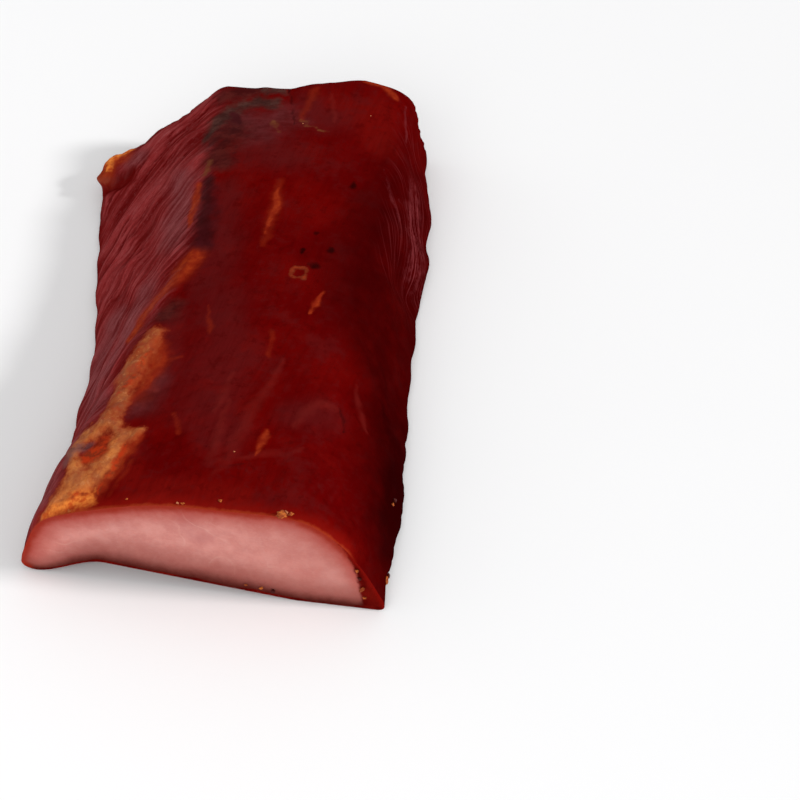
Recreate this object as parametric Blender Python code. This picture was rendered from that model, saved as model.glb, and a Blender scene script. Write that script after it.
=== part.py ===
"""Smoked cured pork: a slab of boneless loin, smoked until its outside is a dark glossy crust.

The front end is cut off and shows the meat. The left side slopes down from a long ridge and has
deep muscle grain, the right side is a full round shoulder, and the back end is left ragged.
The slab is one piece of meat, so it is one solid. Its crust, fat and grain are relief in it.

Metres, +Z up. +Y runs along the slab from the cut face to the back end, and +X to its right.
The origin is on the floor, under the middle of the slab's box.
"""

import math

import bmesh
import bpy
from mathutils import Vector, noise

# Driving dimensions
LENGTH = 0.223
WIDTH = 0.120
HEIGHT = 0.040

# Faces across the slab, along it and up its sides
ACROSS = 28
ALONG = 64
UP = 14

# Sections from the cut face (0) to the back end (1), in shares of LENGTH, WIDTH and HEIGHT:
# where it is, the toe of the left side, the ridge and its height, the right shoulder and its
# height, the heel of the right side, and how far the top rises above the ridge and shoulder
SECTIONS = (
    (0.00, -0.488, -0.440, 0.52, 0.325, 0.84, 0.500, 0.285),
    (0.07, -0.490, -0.410, 0.63, 0.360, 0.85, 0.500, 0.230),
    (0.14, -0.477, -0.365, 0.71, 0.373, 0.85, 0.518, 0.185),
    (0.22, -0.453, -0.315, 0.77, 0.380, 0.85, 0.520, 0.145),
    (0.32, -0.443, -0.280, 0.81, 0.385, 0.85, 0.514, 0.120),
    (0.50, -0.443, -0.195, 0.84, 0.385, 0.85, 0.510, 0.110),
    (0.68, -0.485, -0.150, 0.86, 0.402, 0.86, 0.532, 0.095),
    (0.85, -0.515, -0.160, 0.85, 0.427, 0.87, 0.504, 0.090),
    (1.00, -0.540, -0.170, 0.82, 0.442, 0.86, 0.488, 0.080),
)
TOE, RIDGE, RIDGE_HEIGHT, SHOULDER, SHOULDER_HEIGHT, HEEL, CROWN = range(1, 8)

# How far each long edge is rounded, as shares of half the width and half the height there
TOE_ROUND = (0.10, 0.34)
RIDGE_ROUND = (0.16, 0.50)
HEEL_ROUND = (0.09, 0.40)
SHOULDER_ROUND_FRONT = (0.42, 1.05)
SHOULDER_ROUND_BACK = (0.14, 0.50)
BACK_ROUND = 0.034

# The cut face stands upright and isn't quite square to the slab: its left end is further back
CUT_SKEW = math.radians(5.2)

# The left corner of the back end is sliced away
BACK_CORNER = 0.120 * LENGTH
BACK_CORNER_FROM = -0.12 * WIDTH
BACK_CORNER_TO = -0.52 * WIDTH

# Under the cut face the slab arches clear of the floor, between its thin toe and its middle
ARCH_RISE = 0.185 * HEIGHT
ARCH_LEFT = -0.455 * WIDTH
ARCH_PEAK = -0.265 * WIDTH
ARCH_RIGHT = 0.240 * WIDTH
ARCH_DEPTH = 0.42

# Muscle grain on the left side: grooves that climb the slope as they run back
GRAIN_PITCH = 0.0105
GRAIN_DEPTH = 0.00090
GRAIN_LEAN = math.radians(50)
# Broad unevenness of the whole crust, and the ragged rims of the back end and sides
SWELL_SIZE = 0.034
SWELL_DEPTH = 0.0011
RAGGED_SIZE = 0.011
RAGGED_DEPTH = 0.0011
NOISE_OFFSETS = (0.0, 31.7, 73.1)

# Lumps and hollows: place across and along in shares, radius, and push in x, y and z
LUMPS = {
    "knob at the back left corner": (-0.490, 0.985, 0.0100, (-0.0032, 0.0038, 0.0052)),
    "bite under the knob": (-0.520, 0.850, 0.0080, (0.0038, 0.0000, 0.0000)),
    "dip in the slanted back edge": (-0.230, 0.975, 0.0110, (0.0000, -0.0030, -0.0008)),
    "swell in the slanted back edge": (-0.345, 0.975, 0.0080, (-0.0004, 0.0020, 0.0004)),
    "tag on the right side": (0.520, 0.705, 0.0070, (0.0012, 0.0000, 0.0000)),
    "bite in front of the tag": (0.510, 0.605, 0.0090, (-0.0044, 0.0000, 0.0000)),
    "dip at the back right corner": (0.425, 0.980, 0.0075, (-0.0004, -0.0030, -0.0014)),
    "fat at the front of the ridge": (-0.350, 0.100, 0.0100, (-0.0006, 0.0000, 0.0014)),
    "fat along the ridge": (-0.300, 0.190, 0.0110, (-0.0008, 0.0000, 0.0013)),
    "fat at the middle of the ridge": (-0.235, 0.330, 0.0110, (-0.0006, 0.0000, 0.0008)),
    "dent on the top": (0.060, 0.270, 0.0130, (0.0000, 0.0000, -0.0011)),
    "hump at the back end": (0.280, 0.985, 0.0120, (0.0000, 0.0010, 0.0012)),
    "hollow in the back edge": (0.040, 0.985, 0.0150, (0.0000, -0.0022, -0.0014)),
}

CRUST_COLOUR = (0.125, 0.006, 0.004, 1.0)
MEAT_COLOUR = (0.560, 0.225, 0.195, 1.0)


def smooth(low, high, value):
    """0 below low, 1 above high, and an S curve between them. low may be above high."""
    share = min(1.0, max(0.0, (value - low) / (high - low)))
    return share * share * (3.0 - 2.0 * share)


def mix(first, second, share):
    return first + (second - first) * share


def section_value(column, along):
    """One column of SECTIONS at a share of the length, on a smooth curve through its rows."""
    last = len(SECTIONS) - 1
    row = 0
    while row < last - 1 and along > SECTIONS[row + 1][0]:
        row += 1

    def slope(at):
        before = SECTIONS[max(0, at - 1)]
        after = SECTIONS[min(last, at + 1)]
        return (after[column] - before[column]) / (after[0] - before[0])

    start, end = SECTIONS[row], SECTIONS[row + 1]
    span = end[0] - start[0]
    t = (along - start[0]) / span
    return (
        (2 * t**3 - 3 * t**2 + 1) * start[column]
        + (t**3 - 2 * t**2 + t) * span * slope(row)
        + (3 * t**2 - 2 * t**3) * end[column]
        + (t**3 - t**2) * span * slope(row + 1)
    )


def into_corner(value, round_share):
    """How deep a box coordinate from -1 to 1 lies in the rounded part at its own end, 0 to 1."""
    return max(0.0, (abs(value) - (1.0 - round_share)) / round_share)


def pull_in(value, round_share, depth, factor):
    """A box coordinate whose part inside the rounded zone is scaled by factor."""
    if depth <= 0.0:
        return value
    return math.copysign(1.0 - round_share + round_share * depth * factor, value)


def rounded(across, along, up):
    """A point of the plain box (-1 to 1 across and up, 0 to 1 along) with its long edges and
    the edges of its back end rounded. The edges of the cut face stay sharp."""
    if across < 0.0:
        side_round, height_round = RIDGE_ROUND if up > 0.0 else TOE_ROUND
    elif up < 0.0:
        side_round, height_round = HEEL_ROUND
    else:
        share = smooth(0.50, 0.80, along)
        side_round = mix(SHOULDER_ROUND_FRONT[0], SHOULDER_ROUND_BACK[0], share)
        height_round = mix(SHOULDER_ROUND_FRONT[1], SHOULDER_ROUND_BACK[1], share)
    depths = Vector(
        (
            into_corner(across, side_round),
            into_corner(up, height_round),
            max(0.0, (along - (1.0 - BACK_ROUND)) / BACK_ROUND),
        )
    )
    factor = max(depths) / depths.length if depths.length > 0.0 else 1.0
    return (
        pull_in(across, side_round, depths.x, factor),
        1.0 - BACK_ROUND + BACK_ROUND * depths.z * factor if depths.z > 0.0 else along,
        pull_in(up, height_round, depths.y, factor),
    )


def arch_height(x, along):
    """How far the underside is off the floor."""
    if x < ARCH_PEAK:
        rise = smooth(ARCH_LEFT, ARCH_PEAK, x)
    else:
        rise = max(0.0, (ARCH_RIGHT - x) / (ARCH_RIGHT - ARCH_PEAK))
    return ARCH_RISE * rise * smooth(ARCH_DEPTH, 0.0, along)


def ends(x):
    """Where the cut face and the back end are, at this place across the slab."""
    cut = -0.5 * LENGTH - math.tan(CUT_SKEW) * (x - 0.5 * WIDTH)
    corner = (x - BACK_CORNER_FROM) / (BACK_CORNER_TO - BACK_CORNER_FROM)
    back = 0.5 * LENGTH - BACK_CORNER * min(1.1, max(0.0, corner))
    return cut, back


def slab_point(across, along, up):
    """The smooth slab: a point of the box, rounded and carried onto the section there."""
    across, along, up = rounded(across, along, up)
    right = 0.5 * (across + 1.0)
    above = 0.5 * (up + 1.0)
    toe = section_value(TOE, along) * WIDTH
    heel = section_value(HEEL, along) * WIDTH
    ridge = section_value(RIDGE, along) * WIDTH
    shoulder = section_value(SHOULDER, along) * WIDTH
    ridge_height = section_value(RIDGE_HEIGHT, along) * HEIGHT
    shoulder_height = section_value(SHOULDER_HEIGHT, along) * HEIGHT
    crown = section_value(CROWN, along) * HEIGHT

    x = mix(mix(toe, heel, right), mix(ridge, shoulder, right), above)
    top = mix(ridge_height, shoulder_height, right)
    top += crown * math.sin(math.pi * right) ** 0.8
    floor = arch_height(x, along)
    z = floor + above * (top - floor)
    cut, back = ends(x)
    return Vector((x, mix(cut, back, along), z))


def left_side(across, along, up):
    """1 on the sloping left side, fading out over the ridge, and 0 elsewhere."""
    return smooth(-0.62, -0.96, across) * smooth(-1.0, -0.6, up) * smooth(0.0, 0.08, along)


def noise_vector(point):
    """Three noise values, each from its own part of the noise, so that every run is the same."""
    return Vector([noise.noise(point + Vector((offset, 0.0, 0.0))) for offset in NOISE_OFFSETS])


def relief(point, across, along, up):
    """What unevenness adds to a point of the smooth slab."""
    off_floor = smooth(0.0, 0.35, 0.5 * (up + 1.0))
    behind_cut = smooth(0.0, 0.05, along)

    swell = noise_vector(point / SWELL_SIZE) * SWELL_DEPTH
    push = Vector((swell.x, 0.0, swell.z)) * off_floor

    to_rim = max(smooth(0.80, 1.0, abs(across)), smooth(0.90, 1.0, along))
    ragged = noise_vector(point / RAGGED_SIZE) * RAGGED_DEPTH * to_rim
    push += Vector((ragged.x, ragged.y * behind_cut, ragged.z * off_floor))

    # The grain leans: it is followed along the slope and along the slab at once
    down_slope = point.z * math.cos(GRAIN_LEAN) - point.y * math.sin(GRAIN_LEAN)
    wander = noise.noise(point / SWELL_SIZE) * GRAIN_PITCH
    wave = math.sin(2.0 * math.pi * (down_slope + wander) / GRAIN_PITCH)
    groove = GRAIN_DEPTH * wave * left_side(across, along, up)
    push += Vector((-0.6, 0.0, 0.8)) * groove

    for share_across, share_along, radius, shove in LUMPS.values():
        centre_x = share_across * WIDTH
        cut, back = ends(centre_x)
        reach = math.hypot(point.x - centre_x, point.y - mix(cut, back, share_along))
        if reach < 2.0 * radius:
            amount = math.exp(-((reach / radius) ** 2)) * smooth(0.0, 0.2, 0.5 * (up + 1.0))
            push += Vector(shove) * amount
    push.y *= behind_cut
    return push


def box_grid():
    """A closed box of even cells, -1 to 1 across and up and 0 to 1 along."""
    bm = bmesh.new()
    bmesh.ops.create_cube(bm, size=2.0)
    for axis, cells in ((0, ACROSS), (1, ALONG), (2, UP)):
        others = [i for i in range(3) if i != axis]
        edges = [
            edge
            for edge in bm.edges
            if all(abs(edge.verts[0].co[i] - edge.verts[1].co[i]) < 1e-6 for i in others)
        ]
        bmesh.ops.subdivide_edges(bm, edges=edges, cuts=cells - 1, use_grid_fill=True)
    for vertex in bm.verts:
        vertex.co.y = 0.5 * (vertex.co.y + 1.0)
    return bm


def shape_slab(bm):
    """Carries every point of the box onto the slab. The floor side of the slab stays flat."""
    for vertex in bm.verts:
        across, along, up = vertex.co
        point = slab_point(across, along, up)
        point += relief(point, across, along, up)
        point.z = max(0.0, point.z)
        vertex.co = point


def merge_flat(bm, is_flat):
    """Joins the faces that lie in one flat face, so that it is cut into few triangles."""
    faces = [face for face in bm.faces if all(is_flat(v.co) for v in face.verts)]
    bmesh.ops.dissolve_faces(bm, faces=faces, use_verts=True)


def centre_on_origin(bm):
    """Moves the slab so that the middle of its box is above the origin."""
    for axis in (0, 1):
        values = [vertex.co[axis] for vertex in bm.verts]
        shift = -0.5 * (min(values) + max(values))
        for vertex in bm.verts:
            vertex.co[axis] += shift


def material(name, colour, roughness):
    made = bpy.data.materials.new(name)
    made.use_nodes = True
    shader = made.node_tree.nodes["Principled BSDF"]
    shader.inputs["Base Color"].default_value = colour
    shader.inputs["Roughness"].default_value = roughness
    shader.inputs["Metallic"].default_value = 0.0
    made.diffuse_color = colour
    return made


def make_slab():
    bm = box_grid()
    cut_faces = [face for face in bm.faces if all(v.co.y < 1e-6 for v in face.verts)]
    for face in cut_faces:
        face.material_index = 1
    shape_slab(bm)
    merge_flat(bm, lambda co: co.z < 1e-6)
    bmesh.ops.triangulate(bm, faces=bm.faces[:])
    centre_on_origin(bm)
    bmesh.ops.recalc_face_normals(bm, faces=bm.faces[:])

    mesh = bpy.data.meshes.new("smoked_pork")
    bm.to_mesh(mesh)
    bm.free()
    mesh.materials.append(material("smoked crust", CRUST_COLOUR, 0.42))
    mesh.materials.append(material("cut meat", MEAT_COLOUR, 0.38))
    mesh.shade_smooth()
    mesh.set_sharp_from_angle(angle=math.radians(50))
    slab = bpy.data.objects.new("smoked_pork", mesh)
    bpy.context.scene.collection.objects.link(slab)
    return slab


def main():
    for old in list(bpy.data.objects):
        bpy.data.objects.remove(old)
    make_slab()


main()
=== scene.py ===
"""A slab of smoked cured pork with its crust, fat, muscle grain and cut face, on a pale floor.

The slab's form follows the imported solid, and its sizes come from that solid's box. Lengths in the
tables are millimetres where a name ends in _MM, and metres elsewhere. +Y runs along the slab from
its cut face to its back end, +X to its right and +Z up.
"""

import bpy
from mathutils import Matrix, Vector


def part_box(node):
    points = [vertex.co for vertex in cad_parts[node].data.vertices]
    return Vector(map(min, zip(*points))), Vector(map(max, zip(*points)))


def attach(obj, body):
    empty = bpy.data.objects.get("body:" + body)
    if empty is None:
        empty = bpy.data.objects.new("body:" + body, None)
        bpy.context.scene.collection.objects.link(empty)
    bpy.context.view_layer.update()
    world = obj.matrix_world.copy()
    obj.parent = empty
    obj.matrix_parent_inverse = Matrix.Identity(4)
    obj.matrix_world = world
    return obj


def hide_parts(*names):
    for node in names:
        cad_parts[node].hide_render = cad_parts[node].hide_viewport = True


bl_info = {
    "name": "Smoked Pork Slab",
    "version": (1, 0, 0),
    "blender": (4, 5, 0),
    "location": "3D View > Sidebar > Smoked Pork",
    "description": "Models a slab of smoked pork with crust, fat, grain, cut face and crumbs",
    "category": "Add Mesh",
}

import math

import bmesh
import bpy
import numpy as np
from bpy.props import FloatProperty, FloatVectorProperty, IntProperty, PointerProperty
from mathutils import Matrix, Vector, noise

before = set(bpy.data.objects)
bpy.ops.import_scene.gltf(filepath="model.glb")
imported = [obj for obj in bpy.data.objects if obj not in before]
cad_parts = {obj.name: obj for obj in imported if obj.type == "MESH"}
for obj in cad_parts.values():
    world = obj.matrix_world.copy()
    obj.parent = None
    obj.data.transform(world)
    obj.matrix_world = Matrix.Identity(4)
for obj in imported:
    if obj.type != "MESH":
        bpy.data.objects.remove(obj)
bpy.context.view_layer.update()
LOW, HIGH = (Vector(corner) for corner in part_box("smoked_pork"))

MM = 0.001

# Sizes of the form, the same as the solid's
LENGTH = 0.223
WIDTH = 0.120
HEIGHT = 0.040

# Sections from the cut face (0) to the back end (1), in shares of LENGTH, WIDTH and HEIGHT:
# where it is, the toe of the left side, the ridge and its height, the right shoulder and its
# height, the heel of the right side, and how far the top rises above the ridge and shoulder
SECTIONS = np.array(
    (
        (0.00, -0.488, -0.440, 0.52, 0.325, 0.84, 0.500, 0.285),
        (0.07, -0.490, -0.410, 0.63, 0.360, 0.85, 0.500, 0.230),
        (0.14, -0.477, -0.365, 0.71, 0.373, 0.85, 0.518, 0.185),
        (0.22, -0.453, -0.315, 0.77, 0.380, 0.85, 0.520, 0.145),
        (0.32, -0.443, -0.280, 0.81, 0.385, 0.85, 0.514, 0.120),
        (0.50, -0.443, -0.195, 0.84, 0.385, 0.85, 0.510, 0.110),
        (0.68, -0.485, -0.150, 0.86, 0.402, 0.86, 0.532, 0.095),
        (0.85, -0.515, -0.160, 0.85, 0.427, 0.87, 0.504, 0.090),
        (1.00, -0.540, -0.170, 0.82, 0.442, 0.86, 0.488, 0.080),
    )
)
TOE, RIDGE, RIDGE_HEIGHT, SHOULDER, SHOULDER_HEIGHT, HEEL, CROWN = range(1, 8)

# How far each long edge is rounded, as shares of half the width and half the height there
TOE_ROUND = (0.10, 0.34)
RIDGE_ROUND = (0.16, 0.50)
HEEL_ROUND = (0.09, 0.40)
SHOULDER_ROUND_FRONT = (0.42, 1.05)
SHOULDER_ROUND_BACK = (0.14, 0.50)
BACK_ROUND = 0.034

CUT_SKEW = math.radians(5.2)
BACK_CORNER = 0.120 * LENGTH
BACK_CORNER_FROM = -0.12 * WIDTH
BACK_CORNER_TO = -0.52 * WIDTH
ARCH_RISE = 0.185 * HEIGHT
ARCH_LEFT = -0.455 * WIDTH
ARCH_PEAK = -0.265 * WIDTH
ARCH_RIGHT = 0.240 * WIDTH
ARCH_DEPTH = 0.42

SWELL_SIZE = 0.034
SWELL_DEPTH = 0.0011
RAGGED_SIZE = 0.011
RAGGED_DEPTH = 0.0011
NOISE_OFFSETS = (0.0, 31.7, 73.1)

# Lumps and hollows: place across and along in shares, radius, and push in x, y and z
LUMPS = {
    "knob at the back left corner": (-0.490, 0.985, 0.0100, (-0.0032, 0.0038, 0.0052)),
    "bite under the knob": (-0.520, 0.850, 0.0080, (0.0038, 0.0000, 0.0000)),
    "dip in the slanted back edge": (-0.230, 0.975, 0.0110, (0.0000, -0.0016, -0.0004)),
    "swell in the slanted back edge": (-0.340, 0.975, 0.0115, (-0.0004, 0.0042, 0.0008)),
    "tag on the right side": (0.520, 0.705, 0.0070, (0.0012, 0.0000, 0.0000)),
    "bite in front of the tag": (0.510, 0.605, 0.0090, (-0.0044, 0.0000, 0.0000)),
    "dip at the back right corner": (0.425, 0.980, 0.0075, (-0.0004, -0.0030, -0.0014)),
    "fat at the front of the ridge": (-0.350, 0.100, 0.0100, (-0.0006, 0.0000, 0.0014)),
    "fat along the ridge": (-0.300, 0.190, 0.0110, (-0.0008, 0.0000, 0.0013)),
    "fat at the middle of the ridge": (-0.235, 0.330, 0.0110, (-0.0006, 0.0000, 0.0008)),
    "dent on the top": (0.060, 0.270, 0.0130, (0.0000, 0.0000, -0.0011)),
    "hump at the back end": (0.280, 0.985, 0.0120, (0.0000, 0.0010, 0.0012)),
    "hollow in the back edge": (0.040, 0.985, 0.0150, (0.0000, -0.0022, -0.0014)),
    "fuller back right corner": (0.420, 0.995, 0.0085, (0.0014, 0.0006, 0.0000)),
    "fuller right side": (0.510, 0.810, 0.0140, (0.0026, 0.0000, 0.0000)),
    "dip in the front rim": (0.050, 0.000, 0.0210, (0.0000, 0.0000, -0.0020)),
    "fuller shoulder at the front": (0.315, 0.000, 0.0115, (0.0008, 0.0000, 0.0040)),
    "fuller shoulder behind it": (0.305, 0.070, 0.0130, (0.0005, 0.0000, 0.0016)),
}

# Marks on the crust by kind: points along the middle of each mark, with its radius there
MARKS_MM = {
    "fat": {
        "broad fat at the cut": (
            (-49.0, -101.5, 25.0, 3.0), (-45.4, -98.5, 28.0, 3.7), (-41.8, -95.0, 30.6, 4.4),
            (-38.0, -91.0, 32.5, 4.2), (-35.5, -88.5, 33.5, 3.0),
        ),
        "fat along the ridge": (
            (-33.5, -91.0, 33.0, 3.0), (-31.5, -85.0, 34.2, 3.0), (-29.5, -79.0, 35.0, 3.0),
            (-26.5, -75.0, 35.5, 2.4), (-22.5, -73.0, 36.3, 1.4),
        ),
        "fat behind the pocket": (
            (-32.0, -61.5, 34.8, 2.8), (-34.5, -68.0, 34.5, 3.4), (-37.5, -70.5, 33.2, 3.6),
            (-41.0, -73.5, 31.5, 3.0), (-43.0, -76.5, 30.8, 2.2), (-43.4, -82.0, 31.1, 1.7),
            (-41.6, -87.0, 31.8, 2.8), (-41.8, -93.0, 31.0, 3.4),
        ),
        "long fat": (
            (-24.5, -28.5, 36.0, 2.8), (-26.5, -35.5, 36.0, 3.6), (-28.5, -42.0, 35.4, 4.2),
            (-30.3, -48.0, 34.8, 4.4), (-32.0, -54.0, 34.5, 3.4), (-33.0, -60.5, 34.5, 2.6),
        ),
        "fat above the pocket": (
            (-33.2, -67.5, 34.7, 2.6), (-30.6, -72.0, 35.1, 2.4), (-27.6, -75.6, 35.4, 2.2),
        ),
    },
    "stain": {
        "orange at the cut": (
            (-48.5, -102.0, 25.0, 3.0), (-44.0, -102.5, 27.5, 3.6), (-39.5, -100.5, 30.0, 4.0),
            (-36.0, -98.0, 31.5, 3.0),
        ),
        "orange in the pocket": (
            (-38.5, -83.0, 32.8, 2.2), (-36.0, -81.5, 33.6, 2.8), (-34.4, -77.0, 33.8, 2.0),
        ),
        "orange beside the fat": (
            (-23.0, -75.5, 36.0, 1.4), (-26.5, -82.5, 35.0, 1.7), (-29.0, -89.5, 34.3, 1.6),
            (-32.5, -96.5, 32.6, 1.3),
        ),
        "orange beside the long fat": (
            (-23.0, -32.0, 36.0, 1.8), (-22.2, -39.0, 36.0, 2.7), (-24.0, -46.0, 35.6, 2.3),
            (-26.5, -52.0, 35.0, 1.8),
        ),
        "lines below the long fat": (
            (-22.5, -48.5, 35.4, 1.0), (-25.0, -53.5, 35.0, 1.3), (-28.5, -58.0, 34.6, 1.1),
        ),
        "ridge streak": (
            (-16.5, 10.0, 35.2, 3.0), (-19.5, 3.5, 34.8, 3.4), (-23.0, -2.0, 33.2, 2.8),
            (-27.0, -6.5, 30.2, 2.6), (-31.0, -12.5, 27.6, 2.4), (-33.5, -21.5, 27.6, 2.2),
            (-33.5, -27.0, 29.5, 1.6),
        ),
        "upper ridge streak": (
            (-20.0, 50.5, 32.8, 1.0), (-20.2, 44.0, 32.4, 1.4), (-20.2, 37.0, 32.0, 1.2),
            (-20.4, 28.0, 32.2, 0.8),
        ),
        "streak on the top": (
            (9.2, 44.0, 38.4, 0.3), (9.2, 38.0, 38.2, 1.1), (8.8, 33.0, 38.1, 1.2),
            (8.0, 27.0, 38.0, 0.7), (7.0, 20.0, 37.9, 0.4),
        ),
        "dash": (
            (29.6, -5.5, 37.0, 0.2), (28.4, -10.0, 37.1, 0.6), (27.0, -13.5, 37.2, 0.9),
            (25.4, -18.5, 37.4, 0.3),
        ),
        "orange at the back right corner": (
            (35.0, 106.5, 37.0, 0.8), (39.0, 106.0, 37.0, 1.3), (43.0, 104.0, 36.5, 1.4),
            (46.0, 100.0, 36.0, 1.0),
        ),
        "orange on the knob": (
            (-59.5, 82.0, 9.5, 2.4), (-57.5, 86.5, 11.5, 3.4), (-54.0, 88.6, 13.0, 3.0),
            (-51.0, 90.6, 13.4, 1.4),
        ),
        "faint dash 4": (
            (17.2, -72.5, 38.2, 0.4), (16.8, -76.5, 38.3, 1.1), (16.0, -80.5, 38.6, 0.9),
            (14.4, -84.5, 39.0, 0.4),
        ),
    },
    "hint": {
        "line beside the fat": (
            (-23.7, -86.5, 35.5, 0.9), (-26.5, -93.0, 34.7, 0.9), (-29.0, -99.0, 33.4, 0.8),
        ),
        "blush beside the long fat": (
            (-20.5, -44.0, 36.2, 2.0), (-23.0, -51.0, 35.8, 3.2), (-25.5, -57.5, 35.4, 3.6),
            (-29.0, -62.0, 34.9, 2.6),
        ),
        "dash beside the long fat": ((-18.0, -41.0, 36.0, 1.0), (-14.0, -41.0, 36.5, 0.7)),
        "haze of the streak on the top": (
            (9.4, 47.0, 38.4, 1.4), (9.0, 37.0, 38.2, 2.2), (8.6, 29.0, 38.0, 2.2),
            (6.8, 14.0, 38.1, 1.2),
        ),
        "glow beside the flap": (
            (17.3, 102.1, 36.8, 1.8), (15.7, 96.1, 36.8, 1.6), (13.0, 84.0, 37.1, 1.2),
        ),
        "faint dash 1": (
            (-8.4, -16.0, 37.4, 0.3), (-7.4, -22.0, 37.5, 0.9), (-6.8, -26.0, 37.5, 1.1),
            (-6.4, -30.0, 37.5, 0.4),
        ),
        "faint dash 2": ((14.2, -28.0, 38.0, 0.9), (14.0, -39.0, 37.4, 0.8)),
        "faint dash 3": (
            (-13.0, -66.5, 36.7, 0.8), (-11.0, -71.0, 37.0, 1.0), (-10.0, -75.0, 37.2, 0.7),
        ),
    },
    "amber": {
        "amber rim of the knob": (
            (-58.4, 84.5, 11.0, 1.5), (-57.2, 88.0, 11.8, 2.2), (-54.6, 90.2, 13.0, 2.2),
            (-51.8, 91.6, 13.8, 1.3),
        ),
        "amber at the cut": (
            (-49.0, -102.0, 24.8, 1.6), (-46.4, -101.0, 27.2, 2.2), (-43.2, -100.6, 28.6, 2.2),
            (-40.4, -99.8, 29.9, 2.9), (-37.4, -99.4, 30.8, 2.9), (-34.0, -100.6, 31.6, 1.4),
        ),
    },
    "ember": {
        "ember at the cut": ((-45.4, -101.8, 27.4, 0.9), (-44.4, -101.0, 28.2, 0.7)),
        "ember over the amber": (
            (-42.6, -97.8, 29.6, 0.6), (-40.0, -96.9, 30.7, 0.9), (-37.0, -97.2, 31.2, 0.6),
        ),
        "ember beside the fat": (
            (-26.0, -79.5, 35.4, 0.7), (-29.4, -86.5, 34.3, 1.1), (-31.6, -92.5, 33.2, 1.1),
            (-33.4, -98.5, 32.0, 0.7),
        ),
        "ember in the long fat": (
            (-24.4, -36.5, 36.2, 0.7), (-27.0, -43.5, 35.6, 1.4), (-30.4, -51.5, 34.8, 1.3),
            (-33.4, -59.0, 34.4, 0.7),
        ),
        "ember in the pocket": (
            (-38.4, -83.4, 32.5, 1.6), (-36.4, -81.4, 33.2, 2.5), (-34.8, -78.2, 33.9, 1.9),
        ),
    },
    "bruise": {
        "bruise in the pocket": (
            (-45.0, -83.4, 30.2, 1.4), (-43.6, -80.0, 30.4, 2.0), (-40.8, -78.8, 31.4, 2.0),
            (-38.4, -77.6, 32.4, 1.1),
        ),
    },
    "fleck": {
        "fleck by the dark band": (
            (-17.6, 61.0, 35.0, 1.4), (-17.0, 58.0, 35.0, 1.1), (-18.6, 53.0, 33.8, 0.9),
        ),
        "fleck beside the flap 1": ((12.2, 83.0, 37.1, 0.7), (15.6, 82.0, 37.2, 0.9)),
        "fleck beside the flap 2": ((15.0, 79.8, 37.3, 0.8), (19.0, 79.2, 37.2, 0.6)),
        "fleck beside the flap 3": ((20.0, 77.6, 37.3, 0.6), (23.5, 77.0, 37.3, 0.5)),
        "flecks on the milky zone": ((3.6, 82.0, 37.0, 0.9), (6.2, 76.0, 37.3, 0.8)),
    },
    "char": {
        "dark band on the ridge": (
            (-17.0, 51.0, 34.6, 2.6), (-15.6, 39.0, 35.3, 4.0), (-14.8, 27.0, 35.4, 4.0),
            (-14.0, 14.5, 35.3, 3.2),
        ),
        "dark pocket": (
            (-43.0, -78.6, 30.4, 0.9), (-41.0, -77.6, 31.4, 1.2), (-38.6, -78.0, 32.4, 0.9),
        ),
        "nick in the back edge": ((6.4, 106.5, 34.0, 0.7), (7.5, 101.0, 35.5, 0.6)),
        "dark patch in the soot": (
            (-12.0, 88.6, 34.6, 0.9), (-10.6, 85.0, 34.9, 1.5), (-9.0, 82.0, 35.2, 1.1),
        ),
    },
    "soot": {
        "soot band": (
            (-20.5, 77.5, 32.0, 1.8), (-17.5, 85.0, 33.3, 2.6), (-13.0, 90.0, 34.5, 2.8),
            (-8.5, 93.5, 35.0, 3.2), (-3.5, 95.0, 35.3, 3.4), (1.5, 93.5, 35.9, 3.0),
            (3.7, 95.5, 35.9, 1.4),
        ),
        "soot by the nick": (
            (-1.0, 103.0, 35.0, 1.6), (3.0, 103.0, 35.2, 2.2), (5.5, 101.0, 35.5, 1.6),
        ),
    },
    "pit": {
        "spot 1": ((34.4, 47.6, 37.4, 1.4), (34.6, 48.2, 37.4, 1.1)),
        "spot 2": ((29.8, 12.8, 37.1, 1.4), (29.9, 13.8, 37.1, 1.1)),
        "spot 3": ((23.5, 21.3, 37.7, 1.2), (24.5, 21.6, 37.7, 0.9)),
        "spot 4": ((20.3, 11.6, 37.8, 1.0), (20.6, 12.2, 37.8, 0.8)),
        "spot 5": ((24.3, 4.4, 37.5, 1.8), (25.3, 5.4, 37.5, 1.4)),
    },
    "seam": {
        "seam above the pocket": (
            (-38.6, -78.8, 32.2, 0.6), (-36.6, -76.4, 33.2, 0.8), (-34.2, -75.6, 33.9, 0.7),
            (-32.0, -75.2, 34.6, 0.4),
        ),
        "seam below the pocket": (
            (-43.6, -83.4, 31.0, 0.5), (-41.6, -84.6, 31.6, 0.7), (-38.2, -84.8, 33.0, 0.6),
        ),
        "flap edge": (
            (6.8, 105.0, 34.2, 0.5), (8.4, 97.0, 35.9, 0.6), (9.6, 89.0, 36.5, 0.6),
            (10.8, 81.0, 37.2, 0.4),
        ),
        "seam by crease 2": (
            (38.4, -58.0, 33.3, 0.7), (39.6, -61.5, 32.2, 0.9), (40.6, -65.5, 31.0, 0.5),
        ),
        "seam below crease 4": (
            (-3.0, -93.0, 39.0, 0.6), (4.0, -89.6, 39.3, 0.8), (12.0, -88.4, 39.2, 0.5),
        ),
    },
    # Pale raised creases on the top, partly painted highlights along them
    "crease": {
        "crease 1": (
            (1.6, -94.0, 39.2, 1.0), (5.4, -89.0, 39.3, 1.4), (7.7, -78.9, 38.7, 1.7),
            (12.1, -62.5, 37.8, 1.7), (17.0, -48.1, 37.2, 1.3), (18.9, -40.0, 37.2, 0.7),
        ),
        "crease 2": (
            (25.0, -71.0, 37.6, 0.8), (27.9, -63.2, 37.3, 1.5), (32.2, -58.3, 36.2, 1.7),
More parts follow.
